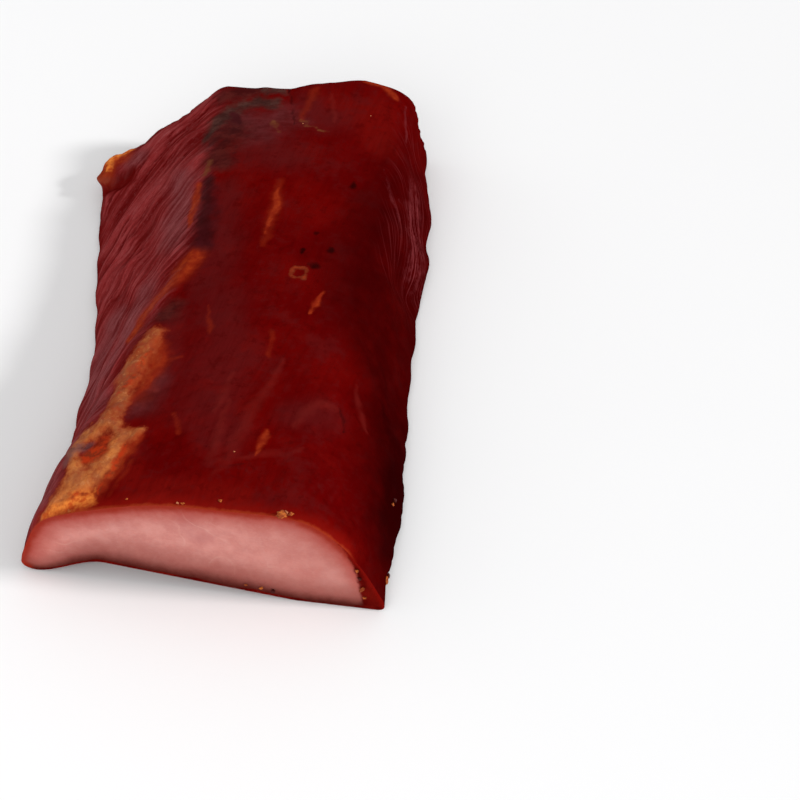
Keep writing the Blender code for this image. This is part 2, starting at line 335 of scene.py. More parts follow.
            (37.0, -58.7, 34.0, 1.2),
        ),
        "crease 3": (
            (-0.6, -91.9, 39.3, 0.9), (1.8, -82.7, 38.6, 1.4), (2.4, -72.1, 38.1, 1.2),
            (2.9, -61.0, 38.0, 0.7),
        ),
        "crease 4": (
            (-4.0, -91.0, 38.8, 0.8), (3.0, -87.4, 39.2, 1.1), (10.0, -86.2, 39.2, 1.0),
            (17.9, -83.2, 38.8, 1.0), (25.1, -83.3, 37.7, 0.9), (29.0, -79.5, 37.1, 0.5),
        ),
        "crease 5": ((42.2, -44.0, 29.2, 0.8), (44.3, -52.8, 27.8, 1.3), (46.8, -60.4, 25.7, 0.8)),
        "crease 6": ((-1.0, -66.0, 38.1, 0.7), (1.2, -58.6, 37.7, 1.2), (3.3, -47.1, 36.9, 0.8)),
        "crease 7": ((22.6, 99.0, 36.9, 0.6), (24.5, 90.6, 36.9, 0.9), (25.5, 82.0, 37.1, 0.5)),
    },
    # Pale raised lines of the right side, partly painted highlights on their ridges
    "sinew": {
        "sinew on the shoulder": (
            (49.8, 98.0, 32.5, 0.6), (50.8, 88.0, 29.2, 0.8), (51.2, 77.0, 28.7, 0.5),
        ),
        "sinew on the right": (
            (44.3, 59.0, 36.4, 0.5), (46.6, 51.0, 33.5, 0.8), (49.4, 45.0, 29.2, 0.8),
            (52.1, 35.5, 24.9, 0.5),
        ),
        "sinew by the tag": ((50.2, 49.5, 29.8, 0.5), (54.5, 48.0, 19.5, 0.8), (58.6, 39.0, 11.4, 0.6)),
    },
    # The fold's dark red is partly painted shade under the knob
    "fold": {
        "fold under the knob": (
            (-60.0, 76.0, 5.6, 2.0), (-57.8, 76.2, 8.0, 2.6), (-55.4, 76.8, 9.6, 3.0),
            (-52.6, 77.0, 10.8, 3.2), (-50.4, 78.0, 11.8, 2.8), (-48.4, 80.5, 12.8, 1.8),
        ),
    },
    "lump": {
        "nodule of the knob": ((-61.0, 82.0, 6.8, 3.0), (-59.2, 80.8, 8.8, 3.2)),
    },
    # Painted sheen: pale greyish patches that stand in for soft reflections
    "haze": {
        "haze beside the long fat": (
            (-22.0, -50.0, 36.0, 3.6), (-24.5, -57.0, 35.6, 4.6), (-27.5, -63.0, 35.2, 3.4),
        ),
        "milky zone": ((-7.0, 84.0, 35.5, 7.0), (-1.0, 80.0, 36.6, 9.0), (6.0, 85.0, 36.8, 7.0)),
    },
    "brown": {
        "dirty zone": (
            (-16.5, 74.0, 35.0, 6.0), (-11.0, 76.0, 35.8, 7.0), (-15.0, 64.0, 35.2, 5.0),
            (-12.0, 58.0, 35.5, 4.0),
        ),
        "dirty back edge": (
            (-16.0, 99.0, 33.5, 4.0), (-6.0, 104.0, 34.5, 4.5), (3.0, 105.0, 35.0, 3.5),
        ),
        "dusty patch above the long fat": ((-22.5, -20.0, 35.0, 3.2), (-20.0, -15.0, 35.5, 3.6)),
    },
    # Painted sheen: mauve patches; on the right side they carry pale lines that are partly painted
    # highlights
    "plum": {
        "plum by the ridge": (
            (-28.0, 59.0, 27.5, 5.0), (-25.5, 44.0, 28.0, 6.0), (-26.0, 27.0, 28.5, 6.0),
        ),
        "plum below the streak": (
            (-33.0, 4.0, 24.0, 5.0), (-38.0, -12.0, 21.0, 6.0), (-42.0, -30.0, 20.0, 6.0),
        ),
        "plum by the front": (
            (-43.0, -52.0, 24.0, 7.0), (-47.5, -72.0, 22.0, 8.0), (-51.0, -92.0, 20.0, 8.0),
        ),
        "plum under the long fat": (
            (-43.5, 2.0, 11.0, 5.0), (-45.3, -12.0, 10.1, 6.0), (-46.9, -24.0, 9.0, 6.0),
            (-46.5, -40.0, 14.0, 7.0),
        ),
        "plum on the knob": ((-50.0, 85.0, 13.0, 3.0), (-47.0, 86.0, 15.0, 3.0)),
        "plum on the right side": (
            (54.5, 62.0, 22.0, 4.0), (56.0, 50.0, 18.0, 6.0), (58.5, 38.0, 13.0, 6.0),
            (60.0, 26.0, 8.0, 4.0),
        ),
    },
    # Painted shade: duller, darker patches of the top
    "dusk": {
        "dusk by the back edge": (
            (13.0, 98.0, 37.0, 5.0), (18.0, 88.0, 37.6, 8.0), (26.0, 84.0, 37.8, 8.0),
        ),
        "dusk behind the streak": ((0.0, 66.0, 37.4, 12.0), (12.0, 62.0, 37.8, 9.0)),
        "dusk by the dark band": (
            (-9.0, 44.0, 36.4, 6.0), (-8.0, 20.0, 36.8, 8.0), (-9.0, -4.0, 37.0, 7.0),
        ),
        "dusk left of the middle": (
            (-5.0, -14.0, 38.0, 9.0), (0.0, -36.0, 38.0, 12.0), (-3.0, -60.0, 38.0, 12.0),
            (4.0, -76.0, 39.0, 8.0),
        ),
        "dusk beside the long fat": (
            (-19.0, -22.0, 36.0, 5.0), (-20.0, -45.0, 36.0, 7.0), (-22.0, -62.0, 36.0, 6.0),
        ),
        "dusk on the right": ((24.0, -66.0, 38.0, 6.0), (36.0, -62.0, 36.0, 7.0)),
    },
    # Painted light: brighter red patches of the top
    "glow": {
        "glow beside the fat": (
            (-24.5, -85.0, 35.8, 3.5), (-23.5, -95.0, 35.4, 5.0), (-22.0, -101.0, 35.8, 5.0),
        ),
        "glow at the back": (
            (22.0, 92.0, 38.0, 10.0), (38.0, 88.0, 37.0, 10.0), (44.0, 70.0, 35.0, 6.0),
        ),
        "glow at the front": (
            (-20.0, -101.0, 36.0, 7.0), (-6.0, -101.0, 38.0, 7.0), (12.0, -102.0, 39.0, 5.0),
        ),
    },
}

# The ring-shaped scar on the top: its middle, its radius, how square it is, the widths of its
# raised ring, its hollow and its coloured line, the size of the breaks in that line, and the
# marks whose colours it takes
SCAR_MM = (20.3, 0.6, 38.0)
SCAR_RADIUS_MM = 2.4
SCAR_POWER = 5
SCAR_RING_MM = 0.8
SCAR_HOLLOW_MM = 1.6
SCAR_LINE_MM = 0.7
SCAR_BREAK_MM = 2.2
SCAR_HEIGHT = 0.0004
SCAR_DEPTH = 0.0003
SCAR_MARKS = {"stain": -0.6, "fleck": 0.1}

# On the cut face, crust starts again outside this quarter ellipse at the right: x of its middle
# and its reach across and up
FACE_END_MM = 30.3
FACE_REACH_MM = (18.7, 37.8)
# Where no painted shade of the face's foot is left
LOW_REACH_MM = 60.0
# The dark foot of the face, thin crust with painted shade, is thinner towards its two ends: to which
# share, and from where
FOOT_AT_LEFT = 0.45
FOOT_LEFT_MM = (-56.0, -22.0)
FOOT_AT_RIGHT = 0.72
FOOT_RIGHT_MM = (12.0, 42.0)
# The bright rim stops low on the right side, and is faint at the toe of the left side
RIM_STOPS_MM = ((28.0, 20.0), (28.0, 34.0))
RIM_AT_TOE = 0.25
RIM_TOE_MM = (-50.0, -57.0)

# The painted shade of the right side: place along, where it starts and is full across, and its
# strength; above about 1 it deepens into a darker painted shadow
PAINTED_SHADE_MM = np.array(
    (
        (-112.0, 44.0, 54.0, 0.72),
        (-100.0, 42.0, 54.0, 1.00),
        (-88.0, 41.0, 54.0, 1.14),
        (-66.0, 39.0, 53.0, 1.20),
        (-42.0, 37.0, 51.0, 1.00),
        (-20.0, 28.0, 41.0, 0.88),
        (8.0, 20.0, 38.0, 0.86),
        (40.0, 31.0, 44.0, 0.84),
        (66.0, 38.0, 52.0, 0.68),
        (90.0, 44.0, 58.0, 0.50),
    )
)

# How far the edge of the painted shade waves, and the size of the waves
SHADE_WAVE_MM = 3.0
SHADE_WAVE_SIZE_MM = 16.0

# Crumbs: tone (0 dark crust, 1 orange, 2 pale), then place and radius. The tiny pale ones on the top
# stand partly for glints: painted highlights
CRUMBS_MM = (
    (1, (25.0, -108.1, 37.5), 1.20),
    (1, (27.4, -107.4, 37.0), 0.64),
    (2, (26.2, -107.0, 37.6), 0.43),
    (2, (-7.0, -105.0, 37.8), 0.36),
    (1, (-5.4, -105.2, 37.9), 0.40),
    (1, (5.9, -103.8, 40.0), 0.48),
    (1, (-23.0, -102.0, 34.8), 0.30),
    (1, (49.0, -111.4, 8.8), 0.80),
    (1, (49.8, -110.8, 4.8), 0.55),
    (0, (48.4, -110.2, 13.5), 0.50),
    (1, (47.5, -109.5, 16.9), 0.56),
    (1, (57.0, -103.0, 4.0), 0.96),
    (0, (58.4, -100.5, 3.0), 0.72),
    (1, (56.4, -75.9, 9.4), 0.55),
    (0, (57.2, -73.6, 9.0), 0.70),
    (0, (21.0, -108.8, 3.4), 0.66),
    (1, (17.4, -108.6, 4.0), 0.52),
    (1, (12.6, -108.2, 4.6), 0.40),
    # Tiny pale ones on the top, partly painted glints
    (2, (7.9, -83.5, 39.0), 0.22),
    (2, (38.0, 88.0, 36.4), 0.20),
    (2, (14.2, 81.0, 37.3), 0.22),
    (1, (-41.4, -102.2, 28.9), 0.46),
)

# Layers of marks: the kind of mark, the depths inside its edge where it starts to cover and is
# full, how much it covers, and how ragged and how softly uneven its edge is
MARK_LAYERS = {
    # Painted light: brighter patches
    "glow": ("glow", -0.6, 0.7, 0.80, 0.0, 1.0),
    # Painted shade: duller, darker patches
    "dusk": ("dusk", -0.6, 0.9, 0.70, 0.0, 1.0),
    "crease": ("crease", -1.0, 1.2, 0.34, 1.4, 0.0),
    # Pale lines of the right side, partly painted highlights
    "plum on the right": ("plum", -0.9, 0.9, 0.75, 1.4, 1.2),
    # Partly painted highlights on the sinews' ridges
    "sinew": ("sinew", -0.5, 1.1, 0.38, 2.0, 0.0),
    # Painted sheen on the left side
    "plum": ("plum", -1.0, 0.8, 0.68, 0.0, 1.0),
    # Partly painted shade in the fold
    "fold": ("fold", -0.8, 0.6, 0.92, 0.0, 0.6),
    "lump": ("lump", -0.6, 0.5, 0.70, 0.8, 0.0),
    "top of the lump": ("lump", 0.1, 1.0, 0.70, 1.2, 0.0),
    # Painted sheen
    "haze": ("haze", -1.2, 1.2, 0.80, 0.9, 1.1),
    "brown": ("brown", -0.7, 0.8, 0.85, 1.4, 0.9),
    "soot": ("soot", -1.0, 0.9, 0.92, 2.2, 0.9),
    "char": ("char", -0.9, 0.7, 0.90, 1.5, 1.0),
    "pit": ("pit", -0.5, 0.6, 0.90, 1.6, 0.0),
    "seam": ("seam", -0.5, 0.9, 0.70, 1.4, 0.0),
    "fleck": ("fleck", -0.6, 1.1, 0.75, 4.0, 0.0),
    "hint": ("hint", -0.8, 1.2, 0.50, 1.6, 0.0),
    "edge of the stain": ("stain", -1.3, 0.3, 0.55, 1.2, 0.4),
    "stain": ("stain", -0.6, 0.6, 0.85, 1.6, 0.5),
    "amber": ("amber", -0.9, 0.7, 0.92, 3.0, 0.0),
    "bruise": ("bruise", -0.8, 0.9, 0.80, 3.0, 0.0),
    "ember": ("ember", -0.8, 0.9, 0.90, 4.5, 0.0),
    "skin": ("skin", 0.15, 0.85, 1.00, 1.2, 0.0),
}

# Where along the slab the fat turns cleaner, and where across the cut the meat turns redder
FAT_CLEARS = (-0.062, -0.082)
MEAT_TOE_REACH = (-0.030, -0.060)
MEAT_HEEL_REACH = (0.000, 0.056)

# Colours in linear values, besides those that the settings give
# Brighter red: painted light in the glow marks, and random patches
BRIGHT_RED = (0.150, 0.0032, 0.0022)
# Duller red: painted shade in the dusk marks, and random mottling
DULL_RED = (0.092, 0.0060, 0.0062)
DEEP_RED = (0.055, 0.0003, 0.0004)
# Pale strands of the right side, partly painted highlights on their ridges
STRAND_HIGHLIGHT_RED = (0.150, 0.017, 0.019)
# Pale red of raised creases, partly painted highlights
CREASE_RED = (0.175, 0.0140, 0.0110)
SEAM_DARK = (0.040, 0.0020, 0.0022)
AMBER = (0.900, 0.260, 0.044)
AMBER_RED = (0.560, 0.090, 0.014)
EMBER_DARK = (0.190, 0.024, 0.008)
# Painted shadow, where the painted shade of the right side is strongest
PAINTED_SHADOW_DEEP = (0.009, 0.0001, 0.0002)
EMBER = (0.400, 0.030, 0.006)
BRUISE = (0.150, 0.055, 0.053)
FLECK_TAN = (0.160, 0.047, 0.017)
LUMP_TAN = (0.420, 0.130, 0.070)
# Dark red: partly painted shade in the fold under the knob, and dark streaks in the grain of the left
# side
FOLD_RED = (0.110, 0.0014, 0.0010)
# Pale sinews, partly painted highlights on their ridges
SINEW_HIGHLIGHT_PINK = (0.170, 0.026, 0.030)
# Painted shade in the grooves of the left side, also its dark grain lines
GROOVE_RED = (0.105, 0.0018, 0.0020)
# Painted highlights on raised strands of the left side, also its pale grain
STRAND_PINK = (0.340, 0.086, 0.088)
# Painted sheen: mauve
PLUM = (0.176, 0.049, 0.053)
# Painted sheen, dark and pale
PAINTED_SHEEN_DARK = (0.066, 0.0070, 0.0075)
PAINTED_SHEEN_PALE = (0.112, 0.0200, 0.0220)
DIRT_DARK = (0.036, 0.0050, 0.0050)
DIRT_PALE = (0.078, 0.0120, 0.0100)
SOOT_PALE = (0.082, 0.033, 0.026)
CHAR_DARK = (0.030, 0.0030, 0.0036)
CHAR_PLUM = (0.052, 0.0060, 0.0080)
PIT_DARK = (0.018, 0.0006, 0.0006)
STAIN_RED = (0.230, 0.0160, 0.0050)
MARGIN_RED = (0.150, 0.0060, 0.0035)
MARGIN_ORANGE = (0.290, 0.0360, 0.0100)
FAT_BROWN = (0.255, 0.046, 0.014)
FAT_TAN = (0.340, 0.094, 0.028)
FAT_DULL = (0.390, 0.108, 0.032)
FAT_PALE = (0.600, 0.230, 0.085)
FAT_WORN = (0.230, 0.070, 0.034)
FAT_RED = (0.290, 0.045, 0.020)
RIM_RED = (0.205, 0.0050, 0.0030)
RIM_ORANGE = (0.340, 0.040, 0.012)
MEAT_DULL = (0.585, 0.215, 0.185)
MEAT_PALE = (0.700, 0.350, 0.310)
MARBLING = (0.740, 0.400, 0.340)
MEAT_TOE = (0.600, 0.135, 0.105)
MEAT_HEEL = (0.440, 0.120, 0.098)
MEAT_RIM = (0.400, 0.055, 0.040)
MEAT_MAUVE = (0.480, 0.160, 0.150)
# Painted shade, darker towards the face's foot
MEAT_PAINTED_SHADE = (0.300, 0.075, 0.060)
# The dark foot: thin crust with painted shade
MEAT_FOOT_CRUST_AND_SHADE = (0.062, 0.0050, 0.0030)
MEAT_EDGE = (0.300, 0.020, 0.008)
SKIN_DARK = (0.070, 0.0010, 0.0008)
SKIN_RED = (0.155, 0.0050, 0.0030)
CRUMB_BROWN = (0.260, 0.044, 0.010)
CRUMB_DARK = (0.060, 0.004, 0.002)
# Pale crumbs, and tiny pale ones on the top as painted glints
CRUMB_PALE_AND_GLINT = (0.500, 0.170, 0.075)

# The marks with smooth edges; all others are drawn through wavy places
SMOOTH_MARKS = ("haze", "brown", "plum", "dusk", "glow")
# The waves at the edges of marks: how far they push a place, and their size
WAVES_MM = ((1.1, 4.5), (0.5, 1.9))

# Where the grained left side and the right side fade out: across and up on the plain box
LEFT_FADE = ((-0.80, -0.99), (-1.0, -0.7))
RIGHT_FADE = ((0.72, 0.97), (-1.0, -0.8))

# The fibres of the left side: how they wander, how they lean over the height at three stretches
# of the length, how far their feet curl forwards, and how they run on up the slope
FIBRE_WANDER_MM = 2.2
FIBRE_WANDER_SIZE = 0.030
FIBRE_LEAN_AT_CUT = 1.3
FIBRE_LEAN_MIDDLE = 1.7
FIBRE_LEAN_AT_BACK = 1.3
LEAN_GROWS_MM = (-60.0, 10.0)
LEAN_SHRINKS_MM = (45.0, 105.0)
FIBRE_CURL_MM = 8.0
FIBRE_RISE = 0.45

# The faint grain of the top
TOP_SLANT = 0.22
TOP_WANDER_MM = 2.0
TOP_WANDER_SIZE = 0.040

# The muscle grain: size across and along the fibres, of bundles, strands and threads
BUNDLE_MM = (8.0, 26.0)
STRAND_MM = (4.6, 17.0)
THREAD_MM = (1.7, 9.0)
BUNDLE_GAIN = 1.6
THREAD_DEPTH = 0.00008
# Strands are faint between patches of this size: how faint, and how strong in the patches
STRAND_PATCH_MM = 13.0
STRAND_FAINT = 0.15
STRAND_STRONG = 0.95
# How far the strands and threads wander, and over which length
FIBRE_WOBBLE = 0.5
FIBRE_WOBBLE_MM = 6.0
# How much bundles, strands and threads brighten the colours where they are raised: painted highlights,
# with painted shade in the grooves
LIFT_SHARES = (0.50, 0.50, 0.35)
# The muscle grain ends towards the back end: to which share, and from where along the box
GRAIN_AT_BACK = 0.35
GRAIN_FADES = (0.93, 1.0)

# The wrinkles of the top: depths and sizes, and the directions of the slanted ones near the cut
WRINKLE_DEPTH = 0.00035
WRINKLES_PER_MM = (0.16, 0.07, 0.16)
FINE_WRINKLE_DEPTH = 0.00012
FINE_WRINKLE_MM = 3.6
SLANTED_WRINKLE_DEPTH = 0.00016
SLANTED_WRINKLES = np.array(((0.13, 0.055, 0.0), (-0.17, 0.040, 0.0), (0.0, 0.0, 0.1)))
SLANTED_WRINKLES_MM = (-10.0, -50.0)

# Marks that stand up or go in: height, and where it starts and is full inside the mark's edge
MARK_HEIGHTS = {
    "sinew": (0.0003, 0.0, 1.0),
    "fold": (-0.0022, -0.3, 1.0),
    "lump": (0.0020, 0.0, 0.9),
    "crease": (0.00022, -1.4, 1.0),
    "seam": (-0.0004, -0.5, 1.0),
}

# The lumps of the fat: their share of its height, and their size
FAT_LUMPS_MM = ((0.6, 3.2), (0.35, 1.5))

# The pocket is charred crust near the cut: its depth, and where along the slab it fades in
POCKET_DEPTH = 0.0010
POCKET_MM = (-60.0, -70.0)

# The crags of the back end: depth, sizes, and where they start along and fade out up the box
CRAG_DEPTH = 0.0008
CRAG_MM = (9.0, 6.0, 6.0)
FINE_CRAG_MM = 2.6
CRAGS_FROM = 0.965
CRAGS_UP_TO = 0.6
# They are lower at the slanted back edge: to which share, and from where to where across
CRAGS_AT_LEFT = 0.45
CRAGS_LEFT_MM = (-20.0, 0.0)

# The cut face: depths and sizes of its swells, and the height and thickness of the skin on it
FACE_SWELL = 0.00025
FACE_SWELL_MM = 7.0
FACE_ROUGHNESS = 0.0001
FACE_ROUGH_MM = 2.4
SKIN_HEIGHT = 0.0004
SKIN_MM = 0.9
SKIN_WAVE_MM = 5.0

# The crust this close to the floor has no relief
FLAT_FOOT = 0.0015

# How much of the muscle grain shows on the right side, and in its strands
RIGHT_GRAIN = 0.22
STRAND_GRAIN = 0.20

# Where the strands of the right side fade in and out along it, and towards the top
STRANDS_MM = ((4.0, 22.0), (104.0, 80.0))
STRANDS_ACROSS_MM = (42.0, 54.0)

# How far a crumb's middle stands off the slab, in its radii, and how uneven and flat it is
CRUMB_LIFT = 0.35
CRUMB_DENT = 0.75
CRUMB_CRACK = 0.50
CRUMB_SHAPE = (1.25, 0.85, 0.62)
# How fine its dents and cracks are, and the step in the noise and the turn from one to the next
CRUMB_DENTS = 1.3
CRUMB_CRACKS = 3.1
CRUMB_STEP = 7.0
CRUMB_TURN = 2.4

# Offsets into the noise, so that its uses differ
SEEDS = {
    "wander": 5.0,
    "top": 9.0,
    "bundle": 3.0,
    "fibre": 11.0,
    "thread": 23.0,
    "wrinkle": 31.0,
    "crag": 47.0,
    "fat": 59.0,
    "edge": 71.0,
}

# A value this close to a side of the plain box lies on it
ON_SIDE = 1e-6
# Fewer cells than this along a side of the box leave nothing of the slab's form
FEWEST_CELLS = 8

# The sheet for baking: its size, each side's size on it by the axis that the side faces, and each
# side's corner by axis and direction
SHEET_SIZE = 328.0
SHEET_SPANS = {0: (43.0, 223.0), 1: (120.0, 43.0), 2: (112.0, 223.0)}
SHEET_CORNERS = {
    (2, 1): (2, 2),
    (2, -1): (118, 2),
    (0, -1): (234, 2),
    (0, 1): (281, 2),
    (1, -1): (2, 229),
    (1, 1): (126, 229),
}

# The floor: how far it lies below the slab, half its side, and the grey of its faint shading
FLOOR_GAP = 0.0002
FLOOR_REACH = 2.0
FLOOR_SHADE = (0.8, 0.8, 0.8)

# The lights: the place of the one from the right and how wide it looks, the place, width and
# height of the two soft ones, and what those are turned to
KEY_LIGHT = (1.50, -0.05, 0.85)
SUN_ANGLE = math.radians(8.0)
FRONT_LIGHT = ((-0.30, -1.70, 1.25), (1.8, 1.2))
LEFT_LIGHT = ((-0.95, 0.30, 0.25), (0.5, 0.9))
LIGHTS_AIM = (0.0, -0.02, 0.02)

# The camera, fitted to the photograph: what it looks at, its lens and its sensor in mm, which
# stands for 800 pixels, and the nearest that it sees
CAMERA_TARGET = (0.05620, -0.03727, 0.018)
CAMERA_LENS = 105.19
CAMERA_SENSOR = 36.0
CAMERA_CLIP = 0.01


def smooth(low, high, value):
    """0 below low, 1 above high, and an S curve between them. low may be above high."""
    share = np.clip((value - low) / (high - low), 0.0, 1.0)
    return share * share * (3.0 - 2.0 * share)


def mix(first, second, share):
    """The first value and the second, mixed with this share of the second."""
    return first + (second - first) * share


def noise_at(points, seed=0.0):
    """One noise value from about -1 to 1 for each row of points."""
    return np.array([noise.noise(point) for point in (points + seed).tolist()])


def noise_vector_at(points):
    """Three noise values for each row of points, each from its own part of the noise."""
    return np.stack([noise_at(points + (offset, 0.0, 0.0)) for offset in NOISE_OFFSETS], axis=1)


def ridged_at(points, seed=0.0):
    """Noise with narrow grooves between broad ridges, from about -1 in a groove to 1."""
    return 1.0 - 2.0 * np.clip(1.0 - 3.2 * np.abs(noise_at(points, seed)), 0.0, 1.0) ** 1.5


def section_values(column, along):
    """One column of SECTIONS at shares of the length, on a smooth curve through its rows."""
    places = SECTIONS[:, 0]
    values = SECTIONS[:, column]
    last = len(places) - 1
    after = np.minimum(np.arange(last + 1) + 1, last)
    before = np.maximum(np.arange(last + 1) - 1, 0)
    slopes = (values[after] - values[before]) / (places[after] - places[before])
    row = np.clip(np.searchsorted(places, along) - 1, 0, last - 1)
    span = places[row + 1] - places[row]
    t = (along - places[row]) / span
    return (
        (2 * t**3 - 3 * t**2 + 1) * values[row]
        + (t**3 - 2 * t**2 + t) * span * slopes[row]
        + (3 * t**2 - 2 * t**3) * values[row + 1]
        + (t**3 - t**2) * span * slopes[row + 1]
    )


def rounded(across, along, up):
    """Points of the plain box with its long edges and the edges of its back end rounded."""
    left = across < 0.0
    high = up > 0.0
    share = smooth(0.50, 0.80, along)
    side_round = np.where(
        left,
        np.where(high, RIDGE_ROUND[0], TOE_ROUND[0]),
        np.where(high, mix(SHOULDER_ROUND_FRONT[0], SHOULDER_ROUND_BACK[0], share), HEEL_ROUND[0]),
    )
    height_round = np.where(
        left,
        np.where(high, RIDGE_ROUND[1], TOE_ROUND[1]),
        np.where(high, mix(SHOULDER_ROUND_FRONT[1], SHOULDER_ROUND_BACK[1], share), HEEL_ROUND[1]),
    )
    side_depth = np.maximum(0.0, (np.abs(across) - (1.0 - side_round)) / side_round)
    height_depth = np.maximum(0.0, (np.abs(up) - (1.0 - height_round)) / height_round)
    back_depth = np.maximum(0.0, (along - (1.0 - BACK_ROUND)) / BACK_ROUND)
    depths = np.stack((side_depth, height_depth, back_depth), axis=1)
    reach = np.linalg.norm(depths, axis=1)
    factor = np.where(reach > 0.0, depths.max(axis=1) / np.maximum(reach, 1e-9), 1.0)
    new_across = np.sign(across) * (1.0 - side_round + side_round * side_depth * factor)
    new_up = np.sign(up) * (1.0 - height_round + height_round * height_depth * factor)
    new_along = 1.0 - BACK_ROUND + BACK_ROUND * back_depth * factor
    return (
        np.where(side_depth > 0.0, new_across, across),
        np.where(back_depth > 0.0, new_along, along),
        np.where(height_depth > 0.0, new_up, up),
    )


def ends(x):
    """Where the cut face and the back end are, at this place across the slab."""
    cut = -0.5 * LENGTH - math.tan(CUT_SKEW) * (x - 0.5 * WIDTH)
    corner = (x - BACK_CORNER_FROM) / (BACK_CORNER_TO - BACK_CORNER_FROM)
    back = 0.5 * LENGTH - BACK_CORNER * np.clip(corner, 0.0, 1.1)
    return cut, back


def slab_points(box):
    """The smooth slab: points of the box, rounded and carried onto the section there."""
    across, along, up = rounded(*box.T)
    right = 0.5 * (across + 1.0)
    above = 0.5 * (up + 1.0)
    toe, heel, ridge, shoulder = (
        section_values(column, along) * WIDTH for column in (TOE, HEEL, RIDGE, SHOULDER)
    )
    ridge_height, shoulder_height, crown = (
        section_values(column, along) * HEIGHT for column in (RIDGE_HEIGHT, SHOULDER_HEIGHT, CROWN)
    )
    x = mix(mix(toe, heel, right), mix(ridge, shoulder, right), above)
    top = mix(ridge_height, shoulder_height, right) + crown * np.sin(np.pi * right) ** 0.8
    rise = np.where(
        x < ARCH_PEAK,
        smooth(ARCH_LEFT, ARCH_PEAK, x),
        np.maximum(0.0, (ARCH_RIGHT - x) / (ARCH_RIGHT - ARCH_PEAK)),
    )
    floor = ARCH_RISE * rise * smooth(ARCH_DEPTH, 0.0, along)
    z = floor + above * (top - floor)
    cut, back = ends(x)
    return np.stack((x, mix(cut, back, along), z), axis=1)


def broad_relief(points, box):
    """The unevenness that the solid has too: swells, ragged rims and lumps."""
    across, along, up = box.T
    above = 0.5 * (up + 1.0)
    off_floor = smooth(0.0, 0.35, above)
    behind_cut = smooth(0.0, 0.05, along)
    push = noise_vector_at(points / SWELL_SIZE) * SWELL_DEPTH
    push[:, 1] = 0.0
    push *= off_floor[:, None]
    to_rim = np.maximum(smooth(0.80, 1.0, np.abs(across)), smooth(0.90, 1.0, along))
    ragged = noise_vector_at(points / RAGGED_SIZE) * RAGGED_DEPTH * to_rim[:, None]
    ragged[:, 1] *= behind_cut
    ragged[:, 2] *= off_floor
    push += ragged
    near_floor = smooth(0.0, 0.2, above)
    for share_across, share_along, radius, shove in LUMPS.values():
        centre_x = share_across * WIDTH
        cut, back = ends(centre_x)
        reach = np.hypot(points[:, 0] - centre_x, points[:, 1] - mix(cut, back, share_along))
        amount = np.where(reach < 2.0 * radius, np.exp(-((reach / radius) ** 2)), 0.0)
        push += np.outer(amount * near_floor, shove)
    push[:, 1] *= behind_cut
    return push


def left_side(box):
    """1 on the sloping left side, fading out over the ridge, and 0 elsewhere."""
    across, _, up = box.T
    return smooth(*LEFT_FADE[0], across) * smooth(*LEFT_FADE[1], up)


def fibre_frame(points):
    """Places across and along the muscle fibres of the left side, in millimetres. The fibres
    climb the slope as they run back, more steeply towards the cut face."""
    y = points[:, 1] / MM
    z = points[:, 2] / MM
    wander = FIBRE_WANDER_MM * noise_at(points / FIBRE_WANDER_SIZE, SEEDS["wander"])
    lean = mix(FIBRE_LEAN_AT_CUT, FIBRE_LEAN_MIDDLE, smooth(*LEAN_GROWS_MM, y))
    lean = mix(lean, FIBRE_LEAN_AT_BACK, smooth(*LEAN_SHRINKS_MM, y))
    return y - z * lean + FIBRE_CURL_MM * np.exp(-z / FIBRE_CURL_MM) + wander, z + y * FIBRE_RISE


def top_frame(points):
    """Places across and along the faint grain of the top, in millimetres."""
    x = points[:, 0] / MM
    y = points[:, 1] / MM
    return x - TOP_SLANT * y + TOP_WANDER_MM * noise_at(points / TOP_WANDER_SIZE, SEEDS["top"]), y


def right_side(box):
    """1 on the steep right side, fading out over the shoulder, and 0 elsewhere."""
    across, _, up = box.T
    return smooth(*RIGHT_FADE[0], across) * smooth(*RIGHT_FADE[1], up)


def strokes(points_mm, kind):
    """How far inside the marks of one kind each point is: 1 on their middle line, 0 at their
    edge and down to -2 outside."""
    deepest = np.full(len(points_mm), -2.0)
    for path in map(np.array, MARKS_MM[kind].values()):
        for start, end in zip(path[:-1], path[1:]):
            step = end[:3] - start[:3]
            share = np.clip(((points_mm - start[:3]) @ step) / (step @ step), 0.0, 1.0)
            reach = np.linalg.norm(points_mm - (start[:3] + share[:, None] * step), axis=1)
            radius = mix(start[3], end[3], share)
            deepest = np.maximum(deepest, 1.0 - reach / radius)
    return deepest


def box_grid(across, along, up):
    """A closed box of even cells, -1 to 1 across and up and 0 to 1 along. The cut face has
    material 1, and its outline is a sharp edge."""
    bm = bmesh.new()
    bmesh.ops.create_cube(bm, size=2.0)
    # The axis with the fewest cells comes first: long strips of faces don't divide evenly
    for axis, cells in sorted(enumerate((across, along, up)), key=lambda pair: pair[1]):
        others = [i for i in range(3) if i != axis]
        edges = [
            edge
            for edge in bm.edges
            if all(abs(edge.verts[0].co[i] - edge.verts[1].co[i]) < ON_SIDE for i in others)
        ]
        bmesh.ops.subdivide_edges(bm, edges=edges, cuts=cells - 1, use_grid_fill=True)
    for face in bm.faces:
        face.smooth = True
        face.material_index = int(all(vertex.co.y < -1.0 + ON_SIDE for vertex in face.verts))
    for edge in bm.edges:
        first, second = edge.link_faces
        edge.smooth = first.material_index == second.material_index
    for vertex in bm.verts:
        vertex.co.y = 0.5 * (vertex.co.y + 1.0)
    return bm


def store(mesh, name, values):
    """Keeps one number or one vector for each point of the mesh, for the materials to read."""
    kind = "FLOAT_VECTOR" if values.ndim == 2 else "FLOAT"
    attribute = mesh.attributes.new(name, kind, "POINT")
    attribute.data.foreach_set("vector" if values.ndim == 2 else "value", values.ravel())


